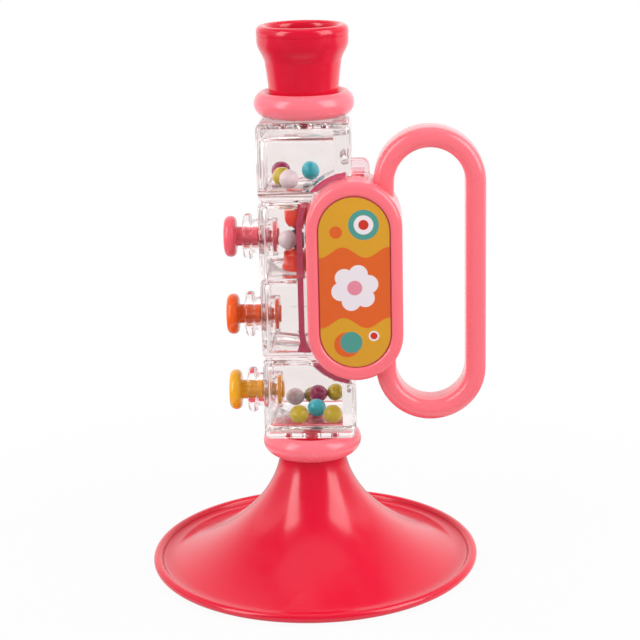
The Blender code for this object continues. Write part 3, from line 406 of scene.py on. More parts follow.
class Nodes:
    """A short way to write a node tree."""

    def __init__(self, tree, output):
        self.tree = tree
        self.surface = tree.nodes[output].inputs["Surface"]

    def node(self, kind, **settings):
        item = self.tree.nodes.new(kind)
        for key, value in settings.items():
            setattr(item, key, value)
        return item

    def put(self, socket, value):
        if isinstance(value, bpy.types.NodeSocket):
            self.tree.links.new(value, socket)
        elif isinstance(value, (tuple, list)) and len(value) == 3 and socket.type == "RGBA":
            socket.default_value = (*value, 1)
        else:
            socket.default_value = value

    def math(self, operation, *values):
        item = self.node("ShaderNodeMath", operation=operation)
        for socket, value in zip(item.inputs, values):
            self.put(socket, value)
        return item.outputs[0]

    def largest(self, first, *others):
        for other in others:
            first = self.math("MAXIMUM", first, other)
        return first

    def span(self, value, low, high, start=0.0, end=1.0, kind="LINEAR"):
        """Carry a value between start and end over to between low and high."""
        item = self.node("ShaderNodeMapRange", interpolation_type=kind)
        for socket, entry in zip(item.inputs, (value, start, end, low, high)):
            self.put(socket, entry)
        return item.outputs[0]

    def ramp(self, value, start, end, low, high):
        """Smooth change from low to high while a value goes from start to end."""
        return self.span(value, low, high, start, end, "SMOOTHSTEP")

    def along(self, place):
        """X, Y and Z of a place as three sockets."""
        item = self.node("ShaderNodeSeparateXYZ")
        self.put(item.inputs[0], place)
        return item.outputs

    def rays(self):
        return self.node("ShaderNodeLightPath").outputs

    def show(self, share, first, second):
        """Put a mix of two shaders on the surface."""
        item = self.node("ShaderNodeMixShader")
        for socket, value in zip(item.inputs, (share, first, second)):
            self.put(socket, value)
        self.put(self.surface, item.outputs[0])


class Material(Nodes):
    """The node tree of a new material, with its main shader."""

    def __init__(self, name):
        self.material = bpy.data.materials.new(name)
        self.material.use_nodes = True
        super().__init__(self.material.node_tree, "Material Output")
        self.shader = self.tree.nodes["Principled BSDF"]
        self.place = self.node("ShaderNodeTexCoord").outputs["Object"]

    def noise(self, scale, detail=3.0, roughness=0.5):
        item = self.node("ShaderNodeTexNoise")
        self.put(item.inputs["Vector"], self.place)
        item.inputs["Scale"].default_value = scale
        item.inputs["Detail"].default_value = detail
        item.inputs["Roughness"].default_value = roughness
        return item.outputs["Fac"]

    def mix(self, share, first, second, blend="MIX"):
        item = self.node("ShaderNodeMix", data_type="RGBA", blend_type=blend)
        factor, colour_a, colour_b, result = 0, 6, 7, 2
        self.put(item.inputs[factor], share)
        self.put(item.inputs[colour_a], first)
        self.put(item.inputs[colour_b], second)
        return item.outputs[result]

    def bump(self, height, strength, distance, normal=None):
        item = self.node("ShaderNodeBump")
        item.inputs["Strength"].default_value = strength
        item.inputs["Distance"].default_value = distance
        self.put(item.inputs["Height"], height)
        if normal is not None:
            self.put(item.inputs["Normal"], normal)
        return item.outputs["Normal"]

    def set(self, **values):
        for name, value in values.items():
            self.put(self.shader.inputs[name.replace("_", " ")], value)


def shade_of(colour, factor):
    return tuple(min(1.0, c * factor) for c in colour)


def plastic(name, colour, roughness, coat, soft=0.0):
    """Gloss moulded plastic: slow tint changes, a faint flow texture and uneven gloss."""
    n = Material(name)
    variation = 0.025
    drift = n.noise(38, 2)
    tint = n.mix(drift, shade_of(colour, 1 - variation), shade_of(colour, 1 + variation))
    n.set(Base_Color=tint)
    gloss = n.noise(160, 4, 0.6)
    n.set(Roughness=n.span(gloss, roughness * 0.8, roughness * 1.25, 0.3, 0.7))
    grain = n.noise(2600, 2)
    flow = n.noise(55, 1)
    first = n.bump(flow, 0.06, 0.0004)
    n.set(Normal=n.bump(grain, 0.03, 0.00003, first))
    n.set(Coat_Weight=coat, Coat_Roughness=0.12, IOR=1.5)
    if soft:
        n.set(Subsurface_Weight=soft, Subsurface_Radius=(1.0, 0.35, 0.3), Subsurface_Scale=0.002)
    return n.material


def clear_plastic(name, colour):
    """Clear moulded plastic that lets lamps light what is inside."""
    n = Material(name)
    roughness = 0.03
    n.set(Base_Color=n.mix(n.noise(60, 2), colour, shade_of(colour, 1.02)))
    n.set(Roughness=n.span(n.noise(140, 3), roughness * 0.6, roughness * 1.6, 0.3, 0.7))
    n.set(Normal=n.bump(n.noise(70, 1), 0.08, 0.0008))
    n.set(Transmission_Weight=1.0, IOR=1.49)
    open_to_light = n.node("ShaderNodeBsdfTransparent")
    open_to_light.inputs["Color"].default_value = (0.96, 0.93, 0.93, 1)
    n.show(n.rays()["Is Shadow Ray"], n.shader.outputs[0], open_to_light.outputs[0])
    return n.material


def metal(name, colour, roughness=0.3, metallic=1.0):
    n = Material(name)
    n.set(Base_Color=n.mix(n.noise(900, 3), shade_of(colour, 0.85), colour))
    n.set(Roughness=n.span(n.noise(1500, 3), roughness * 0.7, roughness * 1.3, 0.3, 0.7))
    n.set(Normal=n.bump(n.noise(2500, 2), 0.1, 0.00003))
    n.set(Metallic=metallic)
    return n.material


CRIMSON = plastic("crimson_plastic", (0.725, 0.0060, 0.034), 0.20, 0.3)
ROSE = plastic("rose_plastic", (1.0, 0.190, 0.240), 0.24, 0.3)
CORAL = plastic("coral_plastic", (1.0, 0.180, 0.220), 0.20, 0.4)
CLEAR = clear_plastic("clear_plastic", (0.968, 0.928, 0.925))
CLEAR_PINK = clear_plastic("pinkish_clear_plastic", (0.97, 0.75, 0.78))
# Coral darkened with painted shade, for the skirt that lies in shadow behind the clear front wall
CORAL_IN_PAINTED_SHADE = plastic("coral_plastic_with_painted_shade", (0.66, 0.085, 0.175), 0.3, 0.3)
PINK = plastic("pink_plunger_plastic", (0.94, 0.120, 0.165), 0.25, 0.3)
ORANGE = plastic("orange_plunger_plastic", (0.97, 0.115, 0.010), 0.25, 0.3)
YELLOW = plastic("yellow_plunger_plastic", (0.94, 0.43, 0.012), 0.25, 0.3)
STEEL = metal("spring_steel", (0.62, 0.61, 0.62))
ZINC = metal("plated_steel", (0.92, 0.89, 0.90), 0.5, 0.0)
RED = plastic("red_orange_plastic", (0.82, 0.04, 0.012), 0.25, 0.3)
GREY = plastic("dark_grey_plastic", (0.055, 0.058, 0.066), 0.35, 0.1)
BEADS = {
    "purple": plastic("purple_bead_plastic", (0.31, 0.012, 0.085), 0.2, 0.4),
    "lime": plastic("lime_bead_plastic", (0.56, 0.44, 0.012), 0.2, 0.4),
    "olive": plastic("olive_bead_plastic", (0.34, 0.27, 0.018), 0.2, 0.4),
    "white": plastic("white_bead_plastic", (0.73, 0.65, 0.68), 0.2, 0.3, 0.3),
    "teal": plastic("teal_bead_plastic", (0.022, 0.50, 0.60), 0.2, 0.4),
}


# Bell, rings and mouthpiece

def pegs(start, end):
    return [
        rod("peg", PEG_RADIUS, (s * PEG_X, 0, start), (s * PEG_X, 0, end), 24) for s in (-1, 1)
    ]


def bell():
    neck_radius = 14.3
    neck = Vector((neck_radius, 52.0))
    rim = Vector((62.0, 2.9))
    handles = neck - Vector((0, 14)), rim - Vector((33.8, -12.3))
    curve = interpolate_bezier(neck, *handles, rim, BELL_CURVE_POINTS)
    last = BELL_CURVE_POINTS - 1
    outer = [tuple(p) for p in curve]
    inner = []
    for index, point in enumerate(curve):
        along = (curve[min(index + 1, last)] - curve[max(index - 1, 0)]).normalized()
        inner.append(tuple(point + Vector((along.y, -along.x)) * BELL_WALL))
    top = soften([(0, BELL_HEIGHT), (neck_radius, BELL_HEIGHT, 0.6), outer[0]])
    shelf = soften([
        (62.0, 2.9), (63.0, 2.62, 2), (64.0, 2.45, 3), (65.0, 2.4, 3), (66.0, 2.5, 3),
        (66.8, 2.75, 2), (67.4, 3.2, 0.25), (67.72, 2.8, 0.12), (67.95, 3.6),
    ])
    lip = arc(69.8, 3.0, 2.0, 158, -80, 28)
    under = soften([
        lip[-1], (67.9, 0.9, 0.3), (67.8, 0.0, 0.2), (66.2, 0.0, 0.3), (65.6, 1.4),
    ])[1:]
    crown = [(12.3, BELL_HEIGHT - 3), (0, BELL_HEIGHT - 3)]
    profile = top[:-1] + outer[:-1] + shelf + lip[1:] + under + inner[::-1] + crown
    item = lathe("bell_flare", profile, 192)
    flange = BODY_BASE + END_PLATE + GAP
    root = BELL_HEIGHT - 1.5
    spigot = rod("spigot", SPIGOT_RADIUS, (0, 0, root), (0, 0, flange + 0.6))
    disc = rod("disc", 5.3, (0, 0, flange), (0, 0, flange + BOTTOM_VOID - 2 * GAP))
    combine(item, "UNION", spigot, disc, *pegs(root, BODY_BASE + 1.8))
    finish(item, CRIMSON, "bell")


def ring(node, radius, base):
    half, fillet, hole = 5.45, 3.05, 14.7
    outside = arc(radius - half, base + half, half, 65, -90, 28)
    crest = arc(outside[0][0], outside[0][1] - fillet, fillet, 180, 94, 10)
    foot = soften([outside[-1], (hole, base, 0.5), crest[0]])[1:-1]
    finish(lathe(node + "_band", outside + foot + crest, 160), ROSE, node)


def mouthpiece():
    base = BODY_TOP + GAP
    outer = [
        (16.88, 236.0), (17.75, 235.80), (18.50, 235.25), (18.96, 234.45), (19.10, 233.60),
        (19.10, 232.60), (19.05, 232.10), (18.88, 231.95), (18.88, 231.80), (19.02, 231.65),
        (19.02, 230.2), (18.98, 229.0), (18.82, 228.0), (18.48, 226.9), (17.98, 225.8),
        (17.38, 224.7), (16.85, 223.7), (16.45, 222.8), (16.28, 222.2), (16.04, 221.9),
        (15.94, 221.4), (15.76, 220.0), (15.5, 218.2), (15.24, 216.2), (15.0, 214.2),
        (14.8, 212.2), (14.66, 210.6), (14.6, 209.6),
    ]
    inner = arc(16.88, 233.78, 2.22, 90, 180, 10)[::-1]
    wall = [(13.8, 222.0), (12.6, 211.0), (12.5, base + 3.6), (12.1, base + 3.1), (11.4, base + 3)]
    profile = [(0, base + 3)] + wall[::-1] + inner[:-1] + outer
    profile += soften([(14.4, 209.0), (14.4, base, 0.4), (0, base)])
    item = lathe("mouthpiece_cup", profile, 160)
    root = base + 1.5
    parts = [
        rod("spigot", SPIGOT_RADIUS, (0, 0, root), (0, 0, base - 2 * GAP)),
        rod(
            "flare",
            SPIGOT_RADIUS,
            (0, 0, BODY_TOP),
            (0, 0, BODY_TOP - END_PLATE),
            end_radius=SPIGOT_END_RADIUS,
        ),
    ]
    parts += pegs(root, BODY_TOP - 1.8)
    finish(combine(item, "UNION", *parts), CRIMSON, "mouthpiece")


# Clear body

def seat_outline(thickness):
    return stadium(HOUSING_X, HOUSING_Z, SEAT_RADIUS + thickness, HOUSING_STRAIGHT)


def posts(places, front, rear, radius):
    return [rod("post", radius, (x, front, z), (x, rear, z), 32) for x, z in places]


def body_solid():
    core = HALF - NOTCH
    low = BODY_BASE + ROUNDING
    high = BODY_TOP - ROUNDING
    item = box("core", (-core, -core, low), (core, core, high), NOTCH)
    for base, height in zip(SECTION_BASES, SECTION_HEIGHTS):
        section = box("section", (-HALF, -HALF, base), (HALF, HALF, base + height), ROUNDING)
        combine(item, "UNION", section)
    return item


def chambers():
    cutters = [
        box("chamber", (-INNER, -INNER, floor), (INNER, INNER, ceiling), 2.0, 4)
        for floor, ceiling in zip(FLOORS, CEILINGS)
    ]
    low = BODY_BASE + END_PLATE
    high = BODY_TOP - END_PLATE
    for start, end in ((low, low + BOTTOM_VOID), (high - TOP_VOID, high)):
        cutters.append(box("void", (-INNER, -INNER, start), (INNER, INNER, end), 0.4, 2))
    return cutters


def columns(front, rear):
    middle = WALL / 2
    return [
        box(
            "column",
            (INNER - width, front, FLOORS[i] - middle),
            (INNER + middle, rear, CEILINGS[i] + middle),
        )
        for i, width in zip(COLUMN_SECTIONS, COLUMN_WIDTHS)
    ]


def seat_block():
    middle = WALL / 2
    block = plate("seat", [seat_outline(SEAT_WALL)], -HALF + middle, SEAT_REAR)
    ledge = plate("ledge", [seat_outline(SEAT_LEDGE)], -HALF + middle, SKIRT_REAR + 0.25)
    combine(block, "UNION", ledge)
    left = HOUSING_X - SEAT_RADIUS - 5
    inside = box("bounds", (left, -HALF, BELOW), (HALF - middle, 0, ABOVE))
    return combine(block, "INTERSECT", inside)


def lug():
    base = HOUSING_Z + HOUSING_HALF_HEIGHT + GAP
    left = HALF + 0.05
    right = HALF + 7.5
    top = base + 6.1
    bend = 3
    corner = arc(right - bend, top - bend, bend, 0, 90, 16)
    outline = [(left, base), (right, base)] + corner + [(left, top)]
    item = plate("lug_clear", [outline], -12.3, -5.7, 0.9)
    start = HALF + 0.9 - GAP
    pocket = box("pocket", (start, -11.0, base - 2), (start + 4.8, -7.0, base + 2.9))
    combine(item, "DIFFERENCE", pocket)
    finish(item, CLEAR_PINK, body="trumpet", slot="clear", degrees=28)


def body_bores():
    """Holes for the bushes, spigots, pegs and the spool's axle."""
    cutters = [
        rod("hole", BUSH_HOLE_RADIUS, (-HALF - 2, 0, z), (-INNER + 2, 0, z)) for _, z in VALVES
    ]
    radius = SPIGOT_RADIUS + GAP
    inside = BODY_BASE + END_PLATE + GAP
    cutters.append(rod("hole", radius, (0, 0, BODY_BASE - 2), (0, 0, inside)))
    cutters.append(rod("hole", radius, (0, 0, BODY_TOP + 2), (0, 0, BODY_TOP - GAP)))
    cutters.append(
        rod(
            "hole",
            radius,
            (0, 0, BODY_TOP),
            (0, 0, BODY_TOP - END_PLATE - GAP),
            end_radius=SPIGOT_END_RADIUS + GAP,
        )
    )
    depth = 2.1
    for x in (-PEG_X, PEG_X):
        for start, end in ((BODY_BASE - 2, BODY_BASE + depth), (BODY_TOP + 2, BODY_TOP - depth)):
            cutters.append(rod("hole", PEG_HOLE_RADIUS, (x, 0, start), (x, 0, end), 24))
    x, y = SPOOL
    depth = 1.2
    for face, into in ((FLOORS[2], -depth), (CEILINGS[2], depth)):
        start, end = (x, y, face - into), (x, y, face + into)
        cutters.append(rod("hole", SPOOL_HOLE_RADIUS, start, end, 24))
    return cutters


def boss(front):
    """Half of the collar round the mouthpiece's spigot."""
    high = BODY_TOP - END_PLATE
    post = rod("boss", 5.65, (0, 0, high - TOP_VOID - 0.3), (0, 0, high + 0.87))
    y0, y1 = (-10, -GAP / 2) if front else (GAP / 2, 10)
    return combine(post, "INTERSECT", box("half", (-10, y0, high - 10), (10, y1, high + 10)))


def hop_room():
    """Space beside the skirt for the front right ball at the top of its hop."""
    hop = Vector((0, 0, 13))
    centre = centre_of("bead_lime_front_right") + hop
    return lathe("hop_room", sphere(BEAD_RADIUS + 0.2, 24), 48, centre)


def shells():
    solid = body_solid()
    combine(solid, "DIFFERENCE", *chambers())
    rear = copy_of(solid)
    front_shell(solid)
    rear_shell(rear)


def half_box(front):
    out = HALF + 2
    y0, y1 = (-out, -GAP / 2) if front else (GAP / 2, out)
    return box("half", (-out, y0, BODY_BASE - 2), (out, y1, BODY_TOP + 2))


def front_shell(front):
    combine(front, "INTERSECT", half_box(True))
    x = HOUSING_X - SEAT_RADIUS - SEAT_WALL
    pin = rod("pin", 0.9, (x + 1.1, *TURNING_BALL_YZ), (x - 3.05, *TURNING_BALL_YZ), 24)
    fittings = [boss(True), seat_block(), pin]
    combine(front, "UNION", *fittings, *columns(-HALF + WALL / 2, -GAP / 2))
    cuts = body_bores() + posts(COLUMN_SCREWS, -6.3, 2, SCREW_HOLE_RADIUS)
    cuts += posts(SEAT_SCREWS, SEAT_FLOOR - 2, SEAT_REAR + 2, SCREW_HOLE_RADIUS)
    mark = posts([GATE_MARK], -HALF - 1, -HALF + 0.4, 2.1)
    cuts.append(combine(mark[0], "DIFFERENCE", *posts([GATE_MARK], -HALF - 2, 0, 1.65)))
    cutter = plate("seat_cutter", [seat_outline(0)], -HALF - 2, SEAT_FLOOR)
    outline = skirt_outline(SKIRT_GAP)
    room = plate("skirt_room", [outline], SKIRT_FRONT - SKIRT_GAP, SKIRT_REAR + SKIRT_GAP)
    combine(room, "INTERSECT", box("within", (-10, -20, BELOW), (INNER, 0, ABOVE)))
    combine(front, "DIFFERENCE", cutter, room, hop_room(), *cuts)
    front.name = "body_front_shell"
    finish(front, CLEAR, "front_shell", degrees=28)


def rear_shell(rear):
    combine(rear, "INTERSECT", half_box(False))
    ribs = [
        box("rib", (-9.5, INNER - 0.7, FLOORS[i] - 1), (-8.7, INNER + 1, CEILINGS[i] + 1))
        for i in (0, 1)
    ]
    ribs.append(box("rib", (-9.0, INNER - 0.5, 111.0), (INNER + 1, INNER + 1, 111.6)))
    combine(rear, "UNION", boss(False), *columns(GAP / 2, HALF - WALL / 2), *ribs)
    out = HALF + 2
    cuts = body_bores() + posts(COLUMN_SCREWS, -2, out, SCREW_HOLE_RADIUS)
    cuts += posts(COLUMN_SCREWS, HALF - SCREW_SEAT_DEPTH, out, SCREW_SEAT_RADIUS)
    combine(rear, "DIFFERENCE", *cuts)
    rear.name = "body_rear_shell"
    finish(rear, CLEAR, "rear_shell", degrees=28)


# Valves

def valve(name, z, colour):
    """Bush, plunger, stem cap and spring, from profiles of (radius, x)."""
    centre = (0, 0, z)
    bush = [
        (2.95, -14.7, 0.15), (7.2, -14.7, 0.3), (7.3, -12.5, 0.2), (8.2, -12.5, 0.4),
        (8.2, -17.0, 0.5), (6.0, -17.0), (6.0, -19.8),
        (7.2, -19.8, 0.3), (7.2, -23.1, 0.5), (9.75, -23.3, 1.4), (9.75, -27.1, 1.7),
        (4.35, -27.3, 0.6), (4.35, SPRING_SEAT), (2.95, SPRING_SEAT),
    ]
    item = lathe(name + "_bush_clear", soften(bush, True), 96, centre, True)
    finish(item, CLEAR, name + "_bush")
    plunger = [
        (0, -13.3), (THIN_STEM_RADIUS, -13.3, 0.3), (THIN_STEM_RADIUS, STEM_SHOULDER, 0.1),
        (STEM_RADIUS, STEM_SHOULDER, 0.3), (STEM_RADIUS, -30.1, 0.7),
        (8.7, -30.1, 2.2), (8.7, -35.2, 2.4), (0, -35.2),
    ]
    finish(lathe(name + "_button", soften(plunger), 96, centre, True), colour, name + "_plunger")
    cap = [
        (0, -11.9), (3.6, -11.9, 0.7), (3.7, -12.8, 0.2), (6.8, -12.8, 0.5), (6.8, -14.4, 0.4),
        (3.0, -14.4), (3.0, -13.0), (0, -13.0),
    ]
    finish(lathe(name + "_cap", soften(cap), 72, centre, True), colour, name + "_stem_cap")
    spring(name, z)


def spring(name, z):
    """Coil between the stem's shoulder and the bottom of the bush."""
    radius = (STEM_RADIUS + 0.25 + THIN_STEM_RADIUS) / 2
    start = STEM_SHOULDER + GAP + WIRE_RADIUS
    end = SPRING_SEAT - GAP - WIRE_RADIUS
    turns, per_turn, around = 3.5, 40, 12
    count = int(turns * per_turn)
    shape = bmesh.new()
    rings = []
    for i in range(count + 1):
        share = i / count
        angle = 2 * math.pi * turns * share
        radial = Vector((0, math.cos(angle), math.sin(angle)))
        centre = Vector((start + (end - start) * share, 0, z)) + radial * radius
        along = Vector(((end - start) / (2 * math.pi * turns), 0, 0))
        along += Vector((0, -math.sin(angle), math.cos(angle))) * radius
        side = along.cross(radial).normalized()
        section = [2 * math.pi * k / around for k in range(around)]
        rings.append([
            shape.verts.new(centre + WIRE_RADIUS * (radial * math.cos(a) + side * math.sin(a)))
            for a in section
        ])
    for a, b in zip(rings, rings[1:]):
        for k in range(around):
            shape.faces.new((a[k], a[(k + 1) % around], b[(k + 1) % around], b[k]))
    shape.faces.new(rings[0])
    shape.faces.new(rings[-1][::-1])
    finish(new_piece(name + "_coil", shape), STEEL, name + "_spring")


# Housing with the handle and its label

def housing_outer():
    outline = stadium(HOUSING_X, HOUSING_Z, HOUSING_RADIUS, HOUSING_STRAIGHT)
    block = plate("block", [outline], HOUSING_FRONT, HOUSING_REAR, HOUSING_ROUNDING)
    step = box("step", (-5, SHALLOW_REAR, BELOW), (HALF + GAP, 5, ABOVE))
    combine(block, "DIFFERENCE", step)
    outer = stadium(HANDLE_X, HOUSING_Z, HANDLE_HALF, HANDLE_STRAIGHT)
    inner = stadium(HANDLE_X, HOUSING_Z, HANDLE_HALF - HANDLE_BAR, HANDLE_STRAIGHT)
    loop = plate("loop", [outer, inner[::-1]], HANDLE_FRONT, HANDLE_REAR, HANDLE_ROUNDING)
    return combine(block, "UNION", loop)


def housing():
    solid = housing_outer()
    rear = copy_of(solid)
    front_half = box("half", (-5, -40, BELOW), (90, PARTING - GAP / 2, ABOVE))
    front = combine(solid, "INTERSECT", front_half)
    label = stadium(HOUSING_X, HOUSING_Z, LABEL_RADIUS, LABEL_STRAIGHT)
    recess = plate("recess", [label], HOUSING_FRONT - 2, HOUSING_FRONT + LABEL_DEPTH)
    bend = 1.5
    edge = track(
        "edge",
        [(LABEL_RADIUS - 1, HOUSING_FRONT - 1), (LABEL_RADIUS + bend, HOUSING_FRONT - 1)]
        + arc(LABEL_RADIUS + bend, HOUSING_FRONT + bend, bend, -85, -180, 8)
        + [(LABEL_RADIUS - 1, HOUSING_FRONT + bend)],
    )
    combine(front, "DIFFERENCE", recess, edge)
    front.name = "bezel_and_front_handle"
    finish(front, CORAL, "front_housing", degrees=30)

    rear_half = box("half", (-5, PARTING + GAP / 2, BELOW), (90, 5, ABOVE))
    combine(rear, "INTERSECT", rear_half)
    base = HOUSING_Z + HOUSING_HALF_HEIGHT
    low = (HALF + 0.9, -10.7, base - 2)
    peg = box("peg", low, (HALF + 5.1, -7.3, base + GAP + 0.6), 0.3, 2)
    combine(rear, "UNION", peg)
    seats = posts(HOUSING_SCREWS, HOUSING_REAR - SCREW_SEAT_DEPTH, 5, SCREW_SEAT_RADIUS)
    seats += posts(HOUSING_SCREWS, PARTING - 1, 5, SCREW_HOLE_RADIUS)
    seats += posts(SEAT_SCREWS, PARTING + 1, SHALLOW_REAR + 1, SCREW_HOLE_RADIUS)
    combine(rear, "DIFFERENCE", *seats)
    rear.name = "rear_cover_and_handle"
    finish(rear, CORAL, "rear_housing", degrees=30)


def skirt_outline(grown):
    radius = SKIRT_RADIUS + grown
    return stadium(HOUSING_X, HOUSING_Z - SKIRT_DROP, radius, HOUSING_STRAIGHT - SKIRT_DROP)


def skirt():
    """Ring of the housing that stands in its seat, with a foot and gaps at two floors; its coral
    is darkened with painted shade.
    """
    outer = skirt_outline(0)
    inner = skirt_outline(-SKIRT_WIDTH)
    item = plate("housing_skirt", [outer, inner[::-1]], SKIRT_FRONT, SKIRT_REAR)
    foot = [(-4.6, 100.8), (1.6, 100.8), (1.2, 102.0), (-2.0, 104.8), (-3.4, 104.8)]
    combine(item, "UNION", plate("foot", [foot], SKIRT_FRONT, SKIRT_REAR))
    inside = box("inside", (-5, -20, BELOW), (INNER - GAP, 0, ABOVE))
    combine(item, "INTERSECT", inside)
    plates = [
        box("floor_plate", (-9, -20, CEILINGS[i] - GAP), (HALF, 0, FLOORS[i + 1] + GAP))
        for i in (0, 2)
    ]
    finish(combine(item, "DIFFERENCE", *plates), CORAL_IN_PAINTED_SHADE, body="trumpet", slot="coral")


def label_material():
    """Printed label: generic shapes on a mustard ground."""
    n = Material("label_print")
    place = n.along(n.place)
    x = n.math("MULTIPLY", n.math("SUBTRACT", place["X"], HOUSING_X * MM), 1000.0)
    z = n.math("MULTIPLY", n.math("SUBTRACT", place["Z"], HOUSING_Z * MM), 1000.0)
    edge = 0.12

    def distance(cx, cz):
        dx = n.math("SUBTRACT", x, cx)
        dz = n.math("SUBTRACT", z, cz)
        squares = n.math("ADD", n.math("MULTIPLY", dx, dx), n.math("MULTIPLY", dz, dz))
        return n.math("SQRT", squares)

    def disc(cx, cz, radius):
        return n.span(distance(cx, cz), 1.0, 0.0, radius - edge, radius + edge)

    colour = (0.70, 0.33, 0.012)
    orange, teal = (0.74, 0.115, 0.010), (0.075, 0.32, 0.27)
    white, red, pink = (0.82, 0.74, 0.78), (0.62, 0.03, 0.012), (0.78, 0.24, 0.33)
    wave = n.math("MULTIPLY", n.math("SINE", n.math("MULTIPLY", x, 0.33)), 2.2)
    low, high = -17.0, 13.0
    lower = n.span(n.math("ADD", z, wave), 0.0, 1.0, low - edge, low + edge)
    upper = n.span(n.math("ADD", z, wave), 1.0, 0.0, high - edge, high + edge)
    colour = n.mix(n.math("MULTIPLY", lower, upper), colour, orange)
    petals = [(*middle, 3.9, white) for middle in arc(0, -2, 6.0, 15, 315, 5)]
    discs = petals + [
        (0, -2, 4.6, white),
        (0, -2, 3.1, pink),
        (4.0, 24.5, 6.3, teal),
        (4.0, 24.5, 4.0, white),
        (4.0, 24.5, 2.1, red),
        (-7.4, 21.5, 2.6, orange),
        (-3.6, -26.3, 5.4, orange),
        (-1.8, -25.3, 4.6, teal),
        (7.6, -22.6, 2.2, white),
        (7.6, -22.6, 1.5, red),
    ]
    for cx, cz, radius, paint in discs:
        colour = n.mix(disc(cx, cz, radius), colour, paint)
    grain = n.noise(1800, 2)
    n.set(Base_Color=n.mix(0.08, colour, n.mix(grain, (0, 0, 0), (1, 1, 1)), "SOFT_LIGHT"))
    n.set(Roughness=n.span(n.noise(300, 3), 0.32, 0.46, 0.3, 0.7))
    n.set(Normal=n.bump(grain, 0.08, 0.00003))
    n.set(Coat_Weight=0.15, Coat_Roughness=0.2)
    return n.material


def label_plate():
    outline = stadium(HOUSING_X, HOUSING_Z, LABEL_RADIUS - 0.35, LABEL_STRAIGHT)
    back = HOUSING_FRONT + LABEL_DEPTH - GAP
    item = plate("label_sticker", [outline], back - 0.5, back, 0.15, 2)
    finish(item, label_material(), "label_plate")


# Screws, spool and rattle balls

def screw(node, x, z, face, length):
    """Pan-head screw with a cross recess, seen from behind."""
    head = [(0, SCREW_HEAD_HEIGHT), (1.5, 1.35, 0.8), (2.3, 0.7, 0.4), (2.3, 0, 0.15), (0.8, 0)]
    item = lathe(node + "_steel", soften(head + [(0.8, -length), (0, -length)]), 48)
    slots = [box("slot", (-a, -b, 0.7), (a, b, 2), 0.1, 1) for a, b in ((1.3, 0.25), (0.25, 1.3))]
    combine(item, "DIFFERENCE", *slots)
    item.data.transform(Matrix.Rotation(-math.pi / 2, 4, "X"))
    item.data.transform(Matrix.Translation((x, face, z)))
    finish(item, ZINC, node)


def screws():
    groups = (
        ("housing_screw", HOUSING_SCREWS, HOUSING_REAR - SCREW_HEAD_HEIGHT, 19.2),
        ("body_screw", COLUMN_SCREWS, HALF - SCREW_HEAD_HEIGHT, 24.1),
        ("seat_screw", SEAT_SCREWS, SEAT_REAR + GAP, 5.2),
    )
    for name, places, face, length in groups:
        for side, (x, z) in zip(("lower", "upper"), places):
            screw(f"{name}_{side}", x, z, face, length)


def spool():
    """Two cups on an axle that has a ball between them."""
    x, y = SPOOL
    bore, cup, dome_height = 1.5, 5.5, 5.6
    base = 150.2
    dome = [
        (cup * r, base + dome_height * (1 + h)) for r, h in arc(0, 0, 1, 0, -74, 20)
    ]
    top = base + 11.8
    upper = soften([(bore, top), (cup, top, 0.8), (cup, base + 7)]) + dome
    upper += [(bore, base)]
    item = lathe("spool_upper", upper, 96, (x, y, 0))
    finish(item, RED, "spool_upper_cup")
    foot = 132.8
    high = 141.6
    body, drop = 6.3, 2.4
    shoulder = [
        (2.2 + 4.1 * r, high - drop * (1 - h)) for r, h in arc(0, 0, 1, 84, 0, 16)
    ]
    lower = [(bore, high)] + shoulder
    lower += soften([
        (body, high - drop), (body, foot + drop, 0.5), (7.1, foot + 1.6, 0.3),
        (7.1, foot, 0.3), (bore, foot),
    ])[1:]
    finish(lathe("spool_lower", lower, 96, (x, y, 0)), RED, "spool_lower_cup")
    ball_z = high + GAP + SPOOL_BALL_RADIUS
    cap = math.degrees(math.acos(SPOOL_AXLE_RADIUS / SPOOL_BALL_RADIUS))
    high, low = CEILINGS[2] + 0.9, FLOORS[2] - 0.9
    profile = [(0, high), (SPOOL_AXLE_RADIUS, high)]
    profile += arc(0, ball_z, SPOOL_BALL_RADIUS, cap, -cap, 36)
    profile += [(SPOOL_AXLE_RADIUS, low), (0, low)]
    finish(lathe("spool_core", profile, 72, (x, y, 0)), GREY, "spool_axle")


def balls():
    """Rattle balls with the fine parting ridge that their mould leaves."""
    for node, slot in SLOT_OF.items():
        if not (node.startswith("bead_") or node == "turning_ball"):
            continue
        centre = centre_of(node)
        item = lathe(node + "_ball", sphere(BEAD_RADIUS, 60, 0.05), 72)
        tilt = Matrix.Rotation(0.5 + 1.7 * centre.x, 4, "X") @ Matrix.Rotation(centre.y, 4, "Y")
        item.data.transform(tilt)
        item.data.transform(Matrix.Translation(centre))
        if node == "turning_ball":
            start = (centre.x + BEAD_RADIUS - 2.3, centre.y, centre.z)
            combine(item, "DIFFERENCE", rod("bore", 1.15, start, (start[0] + 4, *start[1:]), 24))
        finish(item, BEADS[slot], node)


# Camera, floor and light

